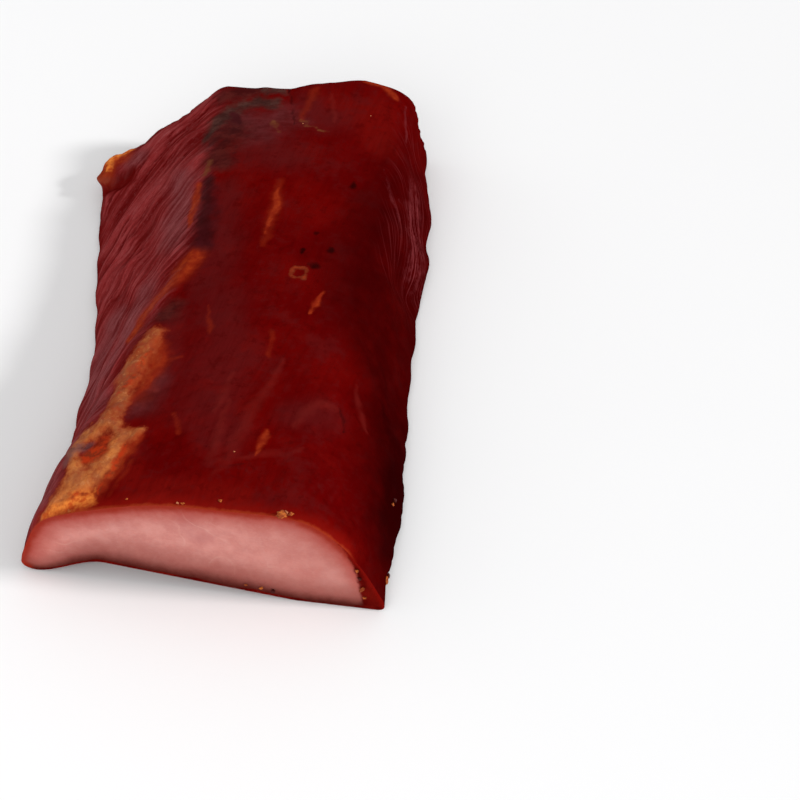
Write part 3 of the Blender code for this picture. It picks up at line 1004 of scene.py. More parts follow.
def points_of(mesh):
    """The places of the mesh's points, one for each row."""
    values = np.empty(len(mesh.vertices) * 3)
    mesh.vertices.foreach_get("co", values)
    return values.reshape(-1, 3)


def set_points(mesh, points):
    """Moves the mesh's points to these places."""
    mesh.vertices.foreach_set("co", points.ravel())
    mesh.update()


def normals_of(mesh):
    """The directions in which the mesh's points face."""
    values = np.empty(len(mesh.vertices) * 3)
    mesh.vertex_normals.foreach_get("vector", values)
    return values.reshape(-1, 3)


def add_uv(mesh, box):
    """Lays the six sides of the box out side by side for baking."""
    loop_points = np.empty(len(mesh.loops), dtype=np.int32)
    mesh.loops.foreach_get("vertex_index", loop_points)
    shares = np.stack((0.5 * (box[:, 0] + 1.0), box[:, 1], 0.5 * (box[:, 2] + 1.0)), axis=1)
    places = shares[loop_points]
    uv = np.zeros((len(mesh.loops), 2))
    starts = np.empty(len(mesh.polygons), dtype=np.int32)
    mesh.polygons.foreach_get("loop_start", starts)
    centre = (places[starts] + places[starts + 1] + places[starts + 2] + places[starts + 3]) / 4
    for (axis, side), (left, low) in SHEET_CORNERS.items():
        level = 1.0 if side > 0 else 0.0
        chosen = np.abs(centre[:, axis] - level) < 10.0 * ON_SIDE
        loops = (starts[chosen][:, None] + np.arange(4)).ravel()
        first, second = {0: (2, 1), 1: (0, 2), 2: (0, 1)}[axis]
        corner, span = np.array((left, low)), np.array(SHEET_SPANS[axis])
        uv[loops] = (corner + places[loops][:, [first, second]] * span) / SHEET_SIZE
    layer = mesh.uv_layers.new(name="OFBake")
    layer.data.foreach_set("uv", uv.ravel())


def distance_on_face(points, outline):
    """Distance of each point of the cut face from the nearest point of an outline on it."""
    gaps = [np.hypot(outline[:, 0] - point[0], outline[:, 2] - point[2]).min() for point in points]
    return np.array(gaps) / MM


def rim_distances(points, box):
    """Distance from the crust's edge at the cut, inwards on the face and backwards on the
    crust, and distance above the bottom of the face, which is shorter towards its two ends."""
    across, along, up = box.T
    on_face = along < ON_SIDE
    at_bottom = on_face & (up < -1.0 + ON_SIDE)
    at_top = on_face & ((np.abs(across) > 1.0 - ON_SIDE) | (up > 1.0 - ON_SIDE))
    cut, _ = ends(points[:, 0])
    rim = (points[:, 1] - cut) / MM
    rim[on_face] = distance_on_face(points[on_face], points[at_top])
    low = np.full(len(points), LOW_REACH_MM)
    low[on_face] = distance_on_face(points[on_face], points[at_bottom])
    x = points[:, 0] / MM
    at_left = mix(FOOT_AT_LEFT, 1.0, smooth(*FOOT_LEFT_MM, x))
    at_right = mix(1.0, FOOT_AT_RIGHT, smooth(*FOOT_RIGHT_MM, x))
    return np.maximum(rim, 0.0), low / (at_left * at_right)


class Nodes:
    """Builds a node tree: each call adds a node, sets its values and links its inputs."""

    def __init__(self, tree):
        self.tree = tree

    def add(self, kind, inputs=None, **settings):
        """A new node with these inputs and settings."""
        node = self.tree.nodes.new(kind)
        for name, value in settings.items():
            setattr(node, name, value)
        self.fill(node, inputs or {})
        return node

    def fill(self, node, inputs):
        """Links the inputs that come from other nodes, and sets the rest."""
        for name, value in inputs.items():
            if isinstance(value, bpy.types.NodeSocket):
                self.tree.links.new(value, node.inputs[name])
            else:
                node.inputs[name].default_value = value

    def field(self, name, output="Fac"):
        """A value that the mesh keeps for each point."""
        kept = self.add("ShaderNodeAttribute", attribute_name=name, attribute_type="GEOMETRY")
        return kept.outputs[output]

    def noise(self, place, scale, detail=3.0, roughness=0.55, distortion=0.0):
        """Noise from 0 to 1. A larger scale makes it finer."""
        inputs = {"Vector": place, "Scale": scale, "Detail": detail}
        inputs |= {"Roughness": roughness, "Distortion": distortion}
        return self.add("ShaderNodeTexNoise", inputs).outputs["Fac"]

    def math(self, operation, first, second=0.0, clamp=False):
        node = self.add("ShaderNodeMath", {0: first, 1: second}, operation=operation, use_clamp=clamp)
        return node.outputs[0]

    def times(self, first, second):
        return self.math("MULTIPLY", first, second)

    def plus(self, first, second, share=None, clamp=False):
        """The first value and the second, or a share of the second."""
        if share is not None:
            second = self.times(second, share)
        return self.math("ADD", first, second, clamp)

    def centred(self, value):
        """A noise from 0 to 1, moved to lie round 0."""
        return self.math("SUBTRACT", value, 0.5)

    def range(self, value, low, high, to_low=0.0, to_high=1.0, kind="SMOOTHSTEP"):
        """A value from low to high, carried onto the range from to_low to to_high."""
        inputs = {
            "Value": value, "From Min": low, "From Max": high, "To Min": to_low, "To Max": to_high,
        }
        return self.add("ShaderNodeMapRange", inputs, interpolation_type=kind).outputs["Result"]

    def mix(self, share, first, second):
        """Two colours mixed, with this share of the second."""
        if not isinstance(first, bpy.types.NodeSocket):
            first = rgba(first)
        if not isinstance(second, bpy.types.NodeSocket):
            second = rgba(second)
        # Of this node's sockets, 0, 6, 7 and the output 2 are the ones for colours
        node = self.add("ShaderNodeMix", data_type="RGBA")
        self.fill(node, {0: share, 6: first, 7: second})
        return node.outputs[2]

    def stretch(self, place, scale):
        scaled = self.add("ShaderNodeVectorMath", {0: place, 1: scale}, operation="MULTIPLY")
        return scaled.outputs[0]

    def bump(self, height, strength, distance):
        inputs = {"Height": height, "Strength": strength, "Distance": distance}
        return self.add("ShaderNodeBump", inputs).outputs["Normal"]

    def feed(self, shader, **values):
        """Links values to the shader's sockets, where an underscore stands for a space."""
        for name, value in values.items():
            self.tree.links.new(value, shader.inputs[name.replace("_", " ")])


def new_material(name, **values):
    """A material with a Principled shader, and the builder of its nodes."""
    made = bpy.data.materials.new(name)
    made.use_nodes = True
    shader = made.node_tree.nodes["Principled BSDF"]
    for socket, value in values.items():
        shader.inputs[socket.replace("_", " ")].default_value = value
    return made, Nodes(made.node_tree), shader


def rgba(colour):
    """A colour with an alpha of 1."""
    return (*colour[:3], 1.0)


def grain_group():
    """A node group of fine meat relief: threads along the fibres and small pits between them."""
    name = "fine meat grain"
    if name in bpy.data.node_groups:
        return bpy.data.node_groups[name]
    tree = bpy.data.node_groups.new(name, "ShaderNodeTree")
    for socket, kind, direction in (
        ("Fibre", "NodeSocketVector", "INPUT"),
        ("Place", "NodeSocketVector", "INPUT"),
        ("Thread", "NodeSocketFloat", "INPUT"),
        ("Pits", "NodeSocketFloat", "INPUT"),
        ("Height", "NodeSocketFloat", "OUTPUT"),
    ):
        tree.interface.new_socket(socket, in_out=direction, socket_type=kind)
    nodes = Nodes(tree)
    source = tree.nodes.new("NodeGroupInput")
    result = tree.nodes.new("NodeGroupOutput")
    threads = nodes.noise(nodes.stretch(source.outputs["Fibre"], (1.0, 0.07, 0.3)), 0.9, 4.0)
    pits = nodes.noise(source.outputs["Place"], 900.0, 3.0)
    height = nodes.plus(nodes.times(threads, source.outputs["Thread"]), pits, source.outputs["Pits"])
    tree.links.new(height, result.inputs["Height"])
    return tree


def add_grain(nodes, fibre, place, thread, pits):
    """The height of the fine meat relief, with these shares of threads and of pits."""
    inputs = {"Fibre": fibre, "Place": place, "Thread": thread, "Pits": pits}
    # The group comes first: its sockets aren't there before
    node = nodes.add("ShaderNodeGroup", node_tree=grain_group())
    nodes.fill(node, inputs)
    return node.outputs["Height"]


class Paint:
    """Layers of colour on one material, and the noises that make the edges of layers uneven."""

    def __init__(self, nodes):
        self.nodes = nodes
        self.place = nodes.add("ShaderNodeTexCoord").outputs["Object"]
        self.fibre = nodes.field("fibre", "Vector")
        self.grain = nodes.field("grain", "Vector")
        self.broad = nodes.noise(self.place, 34.0, 3.0)
        self.patchy = nodes.noise(self.place, 120.0, 4.0)
        self.fine = nodes.noise(self.place, 420.0, 4.0)
        self.ragged = nodes.centred(nodes.noise(self.place, 300.0, 5.0, 0.65))
        self.soft = nodes.times(nodes.centred(nodes.noise(self.place, 90.0, 3.0)), 1.6)
        self.colour = None

    def start(self, share, first, second):
        self.colour = self.nodes.mix(share, first, second)

    def cover(self, share, colour):
        """Lays a colour over what is there."""
        self.colour = self.nodes.mix(share, self.colour, colour)

    def blend(self, tone, low, high, first, second):
        """A colour between two others, as a noise goes from low to high."""
        return self.nodes.mix(self.nodes.range(tone, low, high), first, second)

    def share(self, layer):
        """How much one of the MARK_LAYERS covers."""
        field, low, high, most, ragged, soft = MARK_LAYERS[layer]
        depth = self.nodes.plus(self.nodes.field(field), self.ragged, ragged)
        depth = self.nodes.plus(depth, self.soft, soft)
        return self.nodes.range(depth, low, high, 0.0, most)

    def strands(self, width, scale, detail, roughness, distortion=0.0):
        """Noise drawn out along the fibres. The smaller the width, the longer it is."""
        place = self.nodes.stretch(self.fibre, (1.0, width, 0.3))
        return self.nodes.noise(place, scale, detail, roughness, distortion)


def paint_red_crust(paint, settings):
    """The deep red of the top with painted light and shade on it, the painted shade of the right side,
    and pale lines that are partly painted highlights.
    """
    nodes = paint.nodes
    paint.start(nodes.range(paint.broad, 0.36, 0.64), settings.crust_dark, settings.crust_colour)
    # Painted light and painted shade: brighter and duller patches of the top
    paint.cover(paint.share("glow"), BRIGHT_RED)
    paint.cover(paint.share("dusk"), DULL_RED)
    paint.lines = nodes.noise(nodes.stretch(paint.grain, (1.0, 0.10, 1.0)), 0.55, 4.0, 0.6)
    paint.cover(nodes.range(paint.lines, 0.34, 0.60, 0.22, 0.0), DEEP_RED)
    paint.cover(nodes.range(paint.patchy, 0.50, 0.75, 0.0, 0.4), BRIGHT_RED)
    mottle = nodes.noise(paint.place, 55.0, 5.0, 0.7)
    paint.cover(nodes.range(mottle, 0.50, 0.66, 0.0, 0.45), DULL_RED)
    speckle = nodes.noise(paint.place, 260.0, 4.0, 0.65)
    paint.cover(nodes.range(speckle, 0.52, 0.68, 0.0, 0.30), DULL_RED)
    paint.cover(nodes.range(speckle, 0.46, 0.34, 0.0, 0.35), DEEP_RED)
    # Painted shade darkens the right side, deepening into painted shadow where it is strongest
    shade = nodes.field("shade")
    patches = nodes.range(paint.patchy, 0.25, 0.7, 1.0, 0.80)
    paint.cover(nodes.times(shade, patches), settings.painted_shade_colour)
    paint.cover(nodes.range(shade, 0.95, 1.40, 0.0, 0.8), PAINTED_SHADOW_DEEP)
    # Pale raised creases, partly painted highlights along them
    paint.cover(paint.share("crease"), CREASE_RED)
    # Pale strands of the right side, partly painted highlights on their ridges
    strand = paint.strands(0.05, 0.75, 3.0, 0.5)
    shown = nodes.times(nodes.range(strand, 0.50, 0.72, 0.0, 0.6), nodes.field("strand"))
    paint.cover(shown, STRAND_HIGHLIGHT_RED)
    # Pink streaks and sinews of the right side, partly painted highlights
    streaky = nodes.range(nodes.plus(strand, paint.ragged, 0.5), 0.42, 0.66)
    paint.cover(nodes.times(paint.share("plum on the right"), streaky), SINEW_HIGHLIGHT_PINK)
    paint.cover(paint.share("sinew"), SINEW_HIGHLIGHT_PINK)


def paint_left_side(paint, settings):
    """Paler strands with dark grooves between them, on the grained left side: painted sheen and
    highlights on their raised parts and painted shade in the grooves, besides dark and pale grain.
    """
    nodes = paint.nodes
    paint.streaks = paint.strands(0.09, 0.36, 5.0, 0.62, 0.3)
    threads = paint.strands(0.16, 0.95, 5.0, 0.7, 0.4)
    raised = nodes.plus(nodes.field("lift"), nodes.centred(paint.streaks), 2.6)
    # Painted shade in the grooves and the paler colour on raised parts, by how raised each point is
    colour = nodes.mix(nodes.range(raised, -0.8, 0.7), GROOVE_RED, settings.side_colour)
    # Painted sheen: mauve, stronger on raised parts
    plum = nodes.times(paint.share("plum"), nodes.range(raised, -0.8, 0.4, 0.3, 1.0))
    colour = nodes.mix(plum, colour, PLUM)
    # Painted highlights: pale pink on raised strands
    painted_milky_sheen = nodes.times(nodes.range(raised, -0.4, 1.2), nodes.range(threads, 0.36, 0.70, 0.25, 0.85))
    painted_milky_sheen = nodes.times(painted_milky_sheen, nodes.range(paint.soft, -0.30, 0.30, 0.15, 1.0))
    colour = nodes.mix(painted_milky_sheen, colour, STRAND_PINK)
    colour = nodes.mix(nodes.range(threads, 0.30, 0.48, 0.35, 0.0), colour, GROOVE_RED)
    hairs = paint.strands(0.30, 2.2, 3.0, 0.7, 0.3)
    colour = nodes.mix(nodes.range(hairs, 0.48, 0.34, 0.0, 0.42), colour, GROOVE_RED)
    colour = nodes.mix(nodes.range(hairs, 0.54, 0.70, 0.0, 0.42), colour, STRAND_PINK)
    deep = nodes.range(paint.strands(0.12, 0.16, 3.0, 0.6), 0.48, 0.36, 0.0, 0.75)
    colour = nodes.mix(deep, colour, FOLD_RED)
    worn = nodes.range(paint.fine, 0.2, 0.7, 0.85, 1.0)
    paint.cover(nodes.times(nodes.field("side"), worn), colour)
    # Dark red in the fold under the knob, partly painted shade
    paint.cover(paint.share("fold"), FOLD_RED)
    paint.cover(paint.share("lump"), STAIN_RED)
    paint.cover(paint.share("top of the lump"), LUMP_TAN)


def paint_back_end(paint, settings):
    """The pale painted sheen, the dirt, the soot and the dark spots."""
    nodes = paint.nodes
    smear = nodes.noise(nodes.stretch(paint.place, (0.75, 1.25, 1.0)), 150.0, 6.0, 0.75)
    # Painted sheen: pale greyish patches that stand in for soft reflections
    veil = paint.blend(smear, 0.36, 0.66, PAINTED_SHEEN_DARK, PAINTED_SHEEN_PALE)
    paint.veil = paint.share("haze")
    paint.cover(paint.veil, veil)
    paint.cover(paint.share("brown"), paint.blend(smear, 0.40, 0.64, DIRT_DARK, DIRT_PALE))
    paint.soot = paint.share("soot")
    paint.cover(paint.soot, paint.blend(smear, 0.36, 0.66, settings.soot_colour, SOOT_PALE))
    paint.cover(paint.share("char"), paint.blend(paint.patchy, 0.35, 0.65, CHAR_DARK, CHAR_PLUM))
    paint.cover(paint.share("pit"), PIT_DARK)
    paint.cover(paint.share("seam"), SEAM_DARK)
    paint.cover(paint.share("fleck"), FLECK_TAN)


def paint_streaks(paint, settings):
    """Orange-brown streaks and dashes."""
    paint.cover(paint.share("hint"), STAIN_RED)
    paint.cover(paint.share("edge of the stain"), STAIN_RED)
    paint.stain = paint.share("stain")
    orange = paint.blend(paint.fine, 0.35, 0.7, STAIN_RED, settings.stain_colour)
    paint.cover(paint.stain, orange)


def fat_colours(paint, settings):
    """Brown and tan fat, yellower and cleaner towards the cut, with worn and red patches."""
    nodes = paint.nodes
    along = nodes.add("ShaderNodeSeparateXYZ", {0: paint.place}).outputs["Y"]
    in_front = nodes.range(along, *FAT_CLEARS)
    tone = nodes.noise(nodes.stretch(paint.grain, (1.0, 0.45, 1.0)), 0.34, 5.0, 0.65)
    back_fat = paint.blend(tone, 0.38, 0.62, FAT_BROWN, FAT_TAN)
    front_fat = paint.blend(tone, 0.36, 0.58, FAT_DULL, settings.fat_colour)
    fat = nodes.mix(in_front, back_fat, front_fat)
    blotch = nodes.range(nodes.noise(paint.place, 240.0, 4.0, 0.6, 0.3), 0.46, 0.70, 0.0, 0.9)
    fat = nodes.mix(nodes.times(blotch, nodes.range(in_front, 0.0, 1.0, 1.0, 0.25)), fat, FAT_RED)
    worn = nodes.range(nodes.noise(paint.place, 170.0, 5.0, 0.7), 0.48, 0.64, 0.0, 0.65)
    fat = nodes.mix(nodes.times(worn, nodes.range(in_front, 0.0, 1.0, 1.0, 0.45)), fat, FAT_WORN)
    flecked = nodes.noise(paint.place, 480.0, 5.0, 0.75, 0.2)
    fat = nodes.mix(nodes.range(flecked, 0.52, 0.68, 0.0, 0.65), fat, MARGIN_ORANGE)
    fat = nodes.mix(nodes.range(flecked, 0.46, 0.32, 0.0, 0.55), fat, FAT_PALE)
    return nodes.mix(nodes.times(paint.stain, 0.7), fat, settings.stain_colour)


def paint_fat(paint, settings):
    """The fat with its red-orange margin, and the amber, embers and bruise at the cut."""
    nodes = paint.nodes
    depth = nodes.times(nodes.centred(paint.lines), 1.0)
    depth = nodes.plus(depth, paint.soft, 0.4)
    depth = nodes.plus(depth, paint.ragged, 2.3)
    depth = nodes.plus(depth, nodes.field("fat"))
    paint.cover(nodes.range(depth, -1.1, 0.10, 0.0, 0.65), MARGIN_RED)
    paint.cover(nodes.range(depth, -0.70, 0.20, 0.0, 0.85), MARGIN_ORANGE)
    paint.fat = nodes.range(depth, -0.60, 0.85, 0.0, 0.96)
    paint.cover(paint.fat, fat_colours(paint, settings))
    paint.cover(paint.share("amber"), paint.blend(paint.fine, 0.36, 0.58, AMBER_RED, AMBER))
    paint.cover(paint.share("bruise"), BRUISE)
    paint.cover(paint.share("ember"), paint.blend(paint.fine, 0.40, 0.56, EMBER_DARK, EMBER))


def paint_rim(paint):
    """Brighter red along the cut, with a thin orange-red line at its very edge."""
    nodes = paint.nodes
    rim = nodes.field("rim")
    open_rim = nodes.field("open_rim")
    band = nodes.range(nodes.plus(rim, paint.soft, 2.0), 6.5, 0.2)
    off_fat = nodes.range(paint.fat, 1.0, 0.0, 0.10, 0.75)
    paint.cover(nodes.times(nodes.times(band, off_fat), open_rim), RIM_RED)
    thin = nodes.range(nodes.plus(rim, paint.ragged, 2.4), 1.3, 0.0, 0.0, 0.6)
    paint.cover(nodes.times(thin, open_rim), RIM_ORANGE)


def crust_gloss(paint):
    """The thin coat of grease: in soft patches, more on the left side, the fat and the painted sheen.
    """
    nodes = paint.nodes
    greasy = nodes.range(nodes.noise(paint.place, 70.0, 4.0, 0.6), 0.42, 0.64)
    off_right = nodes.range(nodes.field("right"), 0.0, 1.0, 1.0, 0.2)
    coat = nodes.times(nodes.range(greasy, 0.0, 1.0, 0.005, 0.022), off_right)
    streaky = nodes.range(paint.streaks, 0.35, 0.65, 0.01, 0.06)
    coat = nodes.plus(coat, nodes.field("side"), streaky)
    coat = nodes.plus(coat, paint.fat, 0.06)
    return nodes.plus(coat, paint.veil, 0.03, clamp=True)


def crust_height(paint):
    """Height of the fine relief of the crust, with threads on its two sides."""
    nodes = paint.nodes
    thread = nodes.plus(nodes.times(nodes.field("side"), 0.5), nodes.field("right"), 0.35)
    height = add_grain(nodes, paint.fibre, paint.place, thread, 0.18)
    height = nodes.plus(height, nodes.noise(paint.place, 260.0, 4.0, 0.6), 0.45)
    return nodes.plus(height, paint.lines, 0.35)


def crust_material(settings):
    """Dark smoked crust, with fat, orange streaks, soot and a paler grained side."""
    made, nodes, shader = new_material("smoked crust", Specular_IOR_Level=0.0, Coat_Roughness=0.30)
    paint = Paint(nodes)
    paint_red_crust(paint, settings)
    paint_left_side(paint, settings)
    paint_back_end(paint, settings)
    paint_streaks(paint, settings)
    paint_fat(paint, settings)
    paint_rim(paint)
    uneven = nodes.noise(paint.place, 210.0, 4.0)
    roughness = nodes.range(uneven, 0.3, 0.7, 0.30, 0.52, "LINEAR")
    nodes.feed(
        shader,
        Base_Color=paint.colour,
        Roughness=nodes.plus(roughness, paint.soot, 0.2, clamp=True),
        Coat_Weight=crust_gloss(paint),
        Normal=nodes.bump(crust_height(paint), 0.6, 0.0007),
    )
    return made


def paint_meat(paint, settings):
    """Mottled pink meat with faint marbling, redder towards its two ends."""
    nodes = paint.nodes
    mottle = nodes.noise(paint.place, 150.0, 5.0, 0.6)
    paint.start(nodes.range(mottle, 0.32, 0.70), MEAT_DULL, settings.meat_colour)
    fibre_ends = nodes.noise(nodes.stretch(paint.place, (1.0, 1.0, 1.8)), 900.0, 2.0)
    paint.cover(nodes.range(fibre_ends, 0.45, 0.75, 0.0, 0.22), MEAT_PALE)
    cloud = nodes.noise(paint.place, 48.0, 3.0, 0.5, 0.6)
    paint.cover(nodes.range(cloud, 0.52, 0.70, 0.0, 0.35), MEAT_PALE)
    paint.cover(nodes.range(cloud, 0.46, 0.30, 0.0, 0.45), MEAT_MAUVE)
    veins = nodes.math("ABSOLUTE", nodes.centred(nodes.noise(paint.place, 62.0, 2.0, 0.5, 0.8)))
    shown = nodes.range(nodes.noise(paint.place, 60.0, 2.0), 0.48, 0.66, 0.0, 0.35)
    paint.cover(nodes.times(nodes.range(veins, 0.0, 0.030, 1.0, 0.0), shown), MARBLING)
    across = nodes.add("ShaderNodeSeparateXYZ", {0: paint.place}).outputs["X"]
    paint.cover(nodes.range(across, *MEAT_TOE_REACH, 0.0, 0.45), MEAT_TOE)
    paint.cover(nodes.range(across, *MEAT_HEEL_REACH, 0.0, 0.45), MEAT_HEEL)


def paint_meat_rim(paint, rim, low):
    """The meat darkens towards the crust and its foot: painted shade towards the foot, and thin crust
    that shows there, with painted shade on it. Gives that skin.
    """
    nodes = paint.nodes
    paint.cover(nodes.range(rim, 10.5, 0.5, 0.0, 0.9), MEAT_RIM)
    # Painted shade towards the foot of the face
    paint.cover(nodes.range(low, 18.0, 4.0, 0.0, 0.85), MEAT_PAINTED_SHADE)
    # The dark foot: thin crust with painted shade
    paint.cover(nodes.range(low, 7.5, 0.5, 0.0, 0.95), MEAT_FOOT_CRUST_AND_SHADE)
    paint.cover(nodes.range(rim, 3.4, 0.5, 0.0, 0.9), MEAT_EDGE)
    skin = paint.share("skin")
    paint.cover(skin, paint.blend(paint.patchy, 0.3, 0.7, SKIN_DARK, SKIN_RED))
    paint.cover(nodes.times(skin, nodes.range(rim, 2.4, 0.4, 0.0, 0.8)), RIM_RED)
    return skin


def meat_material(settings):
    """Moist pink meat, darker and redder towards the crust, with pale strands of marbling."""
    made, nodes, shader = new_material(
        "cut meat",
        Specular_IOR_Level=0.0,
        Coat_Roughness=0.36,
        Subsurface_Weight=0.12,
        Subsurface_Radius=(1.0, 0.35, 0.25),
        Subsurface_Scale=0.0035,
    )
    paint = Paint(nodes)
    paint_meat(paint, settings)
    wobble = nodes.plus(nodes.times(paint.ragged, 1.8), paint.soft, 1.2)
    low = nodes.plus(nodes.field("low"), wobble)
    skin = paint_meat_rim(paint, nodes.plus(nodes.field("rim"), wobble), low)
    moist = nodes.range(nodes.noise(paint.place, 200.0, 4.0, 0.6), 0.4, 0.65, 0.05, 0.16)
    dry = nodes.math("MAXIMUM", skin, nodes.range(low, 8.0, 2.0))
    in_mm = nodes.stretch(paint.place, (1.0 / MM, 1.0 / MM, 1.0 / MM))
    height = add_grain(nodes, in_mm, paint.place, 0.35, 0.5)
    uneven = nodes.noise(paint.place, 300.0, 3.0)
    nodes.feed(
        shader,
        Base_Color=paint.colour,
        Roughness=nodes.range(uneven, 0.3, 0.7, 0.34, 0.50, "LINEAR"),
        Coat_Weight=nodes.times(moist, nodes.range(dry, 1.0, 0.0, 0.05, 1.0)),
        Normal=nodes.bump(height, 0.35, 0.0005),
    )
    return made


def crumb_material(settings):
    """Dry crumbs of dark crust, orange crust or pale fat; the tiniest pale ones on the top are painted
    glints.
    """
    made, nodes, shader = new_material("crumbs", Roughness=0.6, Specular_IOR_Level=0.12)
    place = nodes.add("ShaderNodeTexCoord").outputs["Object"]
    tone = nodes.field("tone")
    grain = nodes.noise(place, 900.0, 3.0)
    colour = nodes.mix(nodes.range(grain, 0.4, 0.6), CRUMB_BROWN, settings.crumb_colour)
    colour = nodes.mix(nodes.range(tone, 0.6, 0.4), colour, CRUMB_DARK)
    colour = nodes.mix(nodes.range(tone, 1.4, 1.6), colour, CRUMB_PALE_AND_GLINT)
    normal = nodes.bump(add_grain(nodes, place, place, 0.0, 1.0), 0.6, 0.0003)
    nodes.feed(shader, Base_Color=colour, Normal=normal)
    return made


def colour_property(name, description, default):
    """A setting for a colour in linear values."""
    return FloatVectorProperty(
        name=name, description=description, default=default, subtype="COLOR", size=3, min=0.0, max=1.0
    )


def length_property(name, description, default):
    """A setting for a length in metres."""
    return FloatProperty(
        name=name, description=description, default=default, subtype="DISTANCE", unit="LENGTH", min=0.0
    )


def count_property(name, description, default):
    """A setting for a number of faces."""
    return IntProperty(name=name, description=description, default=default, min=FEWEST_CELLS)


def angle_property(name, description, degrees):
    """A setting for an angle, shown in degrees."""
    default = math.radians(degrees)
    return FloatProperty(name=name, description=description, default=default, subtype="ANGLE")


def strength_property(name, description, default, unit="NONE"):
    """A setting for the strength or the power of a light."""
    return FloatProperty(name=name, description=description, default=default, unit=unit)


class SlabSettings(bpy.types.PropertyGroup):
    """The slab's cells, the depths of its relief and its colours."""

    width: length_property("Width", "Width of the slab's box", HIGH.x - LOW.x)
    length: length_property("Length", "Length of the slab's box", HIGH.y - LOW.y)
    height: length_property("Height", "Height of the slab's box", HIGH.z - LOW.z)
    cells_across: count_property("Cells across", "Faces across the slab", 100)
    cells_along: count_property("Cells along", "Faces along the slab", 264)
    cells_up: count_property("Cells up", "Faces up its sides", 60)
    bundle_depth: length_property("Bundle depth", "Depth between the bundles of the left side", 0.00055)
    fibre_depth: length_property("Fibre depth", "Depth between the fibres of the left side", 0.00036)
    fat_height: length_property("Fat height", "How far the fat stands above the crust", 0.0007)
    crust_colour: colour_property("Crust", "Deep red of the crust", (0.124, 0.0008, 0.0005))
    crust_dark: colour_property("Dark crust", "Darkest red of the crust", (0.098, 0.0004, 0.0006))
    # The left side's paler red holds painted sheen in part
    side_colour: colour_property("Side", "Dusty red of the grained left side", (0.270, 0.022, 0.023))
    # Painted shade of the right side
    painted_shade_colour: colour_property("Right side", "Dark crust of the right side", (0.026, 0.0002, 0.0004))
    fat_colour: colour_property("Fat", "Smoked fat along the ridge", (0.560, 0.172, 0.042))
    stain_colour: colour_property("Stain", "Orange-brown streaks", (0.330, 0.036, 0.008))
    soot_colour: colour_property("Soot", "Grey-brown soot at the back", (0.038, 0.012, 0.010))
    meat_colour: colour_property("Meat", "Pink of the cut face", (0.680, 0.285, 0.245))


class CrumbSettings(bpy.types.PropertyGroup):
    """The colour of the crumbs."""

    crumb_colour: colour_property("Crumb", "Colour of the crumbs", (0.50, 0.125, 0.022))


class StageSettings(bpy.types.PropertyGroup):
    """The camera, the lights and the floor."""

    camera_distance: length_property("Camera distance", "From the camera to its target", 0.765)
    camera_height: angle_property("Camera height", "Angle above the floor", 45.0)
    camera_turn: angle_property("Camera turn", "Angle round the slab", 3.5)
    key_strength: strength_property("Key light", "Strength of the light from the right", 1.85)
    front_power: strength_property("Front light", "Power of the front light", 14.0, unit="POWER")
    left_power: strength_property("Left light", "Power of the left light", 0.8, unit="POWER")
    world_strength: strength_property("World", "Strength of the light all round", 0.60)
    floor_colour: colour_property("Floor", "Colour of the floor", (0.925, 0.925, 0.93))


def left_grain(points_mm, fibres, settings):
    """Relief of the muscle grain, and how raised each point is for the painted highlights and shade of
    the colours: broad bundles, strands that come and go, and threads. fibres has the places across and
    along the fibres."""
    wobble = FIBRE_WOBBLE * noise_at(points_mm / FIBRE_WOBBLE_MM, SEEDS["thread"])
    wobble = np.outer(wobble, (1.0, 0.0, 0.0))
    bundle = BUNDLE_GAIN * noise_at(fibres / (*BUNDLE_MM, 1.0), SEEDS["bundle"])
    strand = ridged_at(fibres / (*STRAND_MM, 1.0) + wobble, SEEDS["fibre"])
    thread = noise_at(fibres / (*THREAD_MM, 1.0) + wobble, SEEDS["thread"])
    patch = smooth(-0.25, 0.35, noise_at(points_mm / STRAND_PATCH_MM, SEEDS["wrinkle"]))
    strand *= mix(STRAND_FAINT, STRAND_STRONG, patch)
    depth = settings.bundle_depth * bundle + settings.fibre_depth * strand + THREAD_DEPTH * thread
    of_bundle, of_strand, of_thread = LIFT_SHARES
    return depth, of_bundle * bundle + of_strand * strand + of_thread * thread


def top_wrinkles(points_mm):
    """Faint wrinkles of the top, with slanted ones towards the cut."""
    wrinkle = noise_at(points_mm * WRINKLES_PER_MM, SEEDS["wrinkle"]) * WRINKLE_DEPTH
    wrinkle += noise_at(points_mm / FINE_WRINKLE_MM, SEEDS["wrinkle"]) * FINE_WRINKLE_DEPTH
    slanted = ridged_at(points_mm @ SLANTED_WRINKLES, SEEDS["wrinkle"]) * SLANTED_WRINKLE_DEPTH
    return wrinkle + slanted * smooth(*SLANTED_WRINKLES_MM, points_mm[:, 1])


def mark_relief(points_mm, fields, settings):
    """Fat, sinews, creases and the nodule stand up, and the pocket, folds and scar go in."""
    (share, size), (fine_share, fine_size) = FAT_LUMPS_MM
    lumpy = share * noise_at(points_mm / size, SEEDS["fat"])
    lumpy += fine_share * noise_at(points_mm / fine_size, SEEDS["edge"])
    depth = settings.fat_height * smooth(-0.05, 0.45, fields["fat"]) * (1.0 + lumpy)
    depth -= POCKET_DEPTH * smooth(0.0, 0.8, fields["char"]) * smooth(*POCKET_MM, points_mm[:, 1])
    for kind, (height, edge, full) in MARK_HEIGHTS.items():
        depth += height * smooth(edge, full, fields[kind])
    to_scar = scar_distance(points_mm)
    depth += SCAR_HEIGHT * np.exp(-(((to_scar - SCAR_RADIUS_MM) / SCAR_RING_MM) ** 2))
    return depth - SCAR_DEPTH * np.exp(-((to_scar / SCAR_HOLLOW_MM) ** 2))


def scar_distance(points_mm):
    """Distance from the middle of the scar, measured so that its ring is a little square."""
    return (np.abs(points_mm - SCAR_MM) ** SCAR_POWER).sum(axis=1) ** (1.0 / SCAR_POWER)


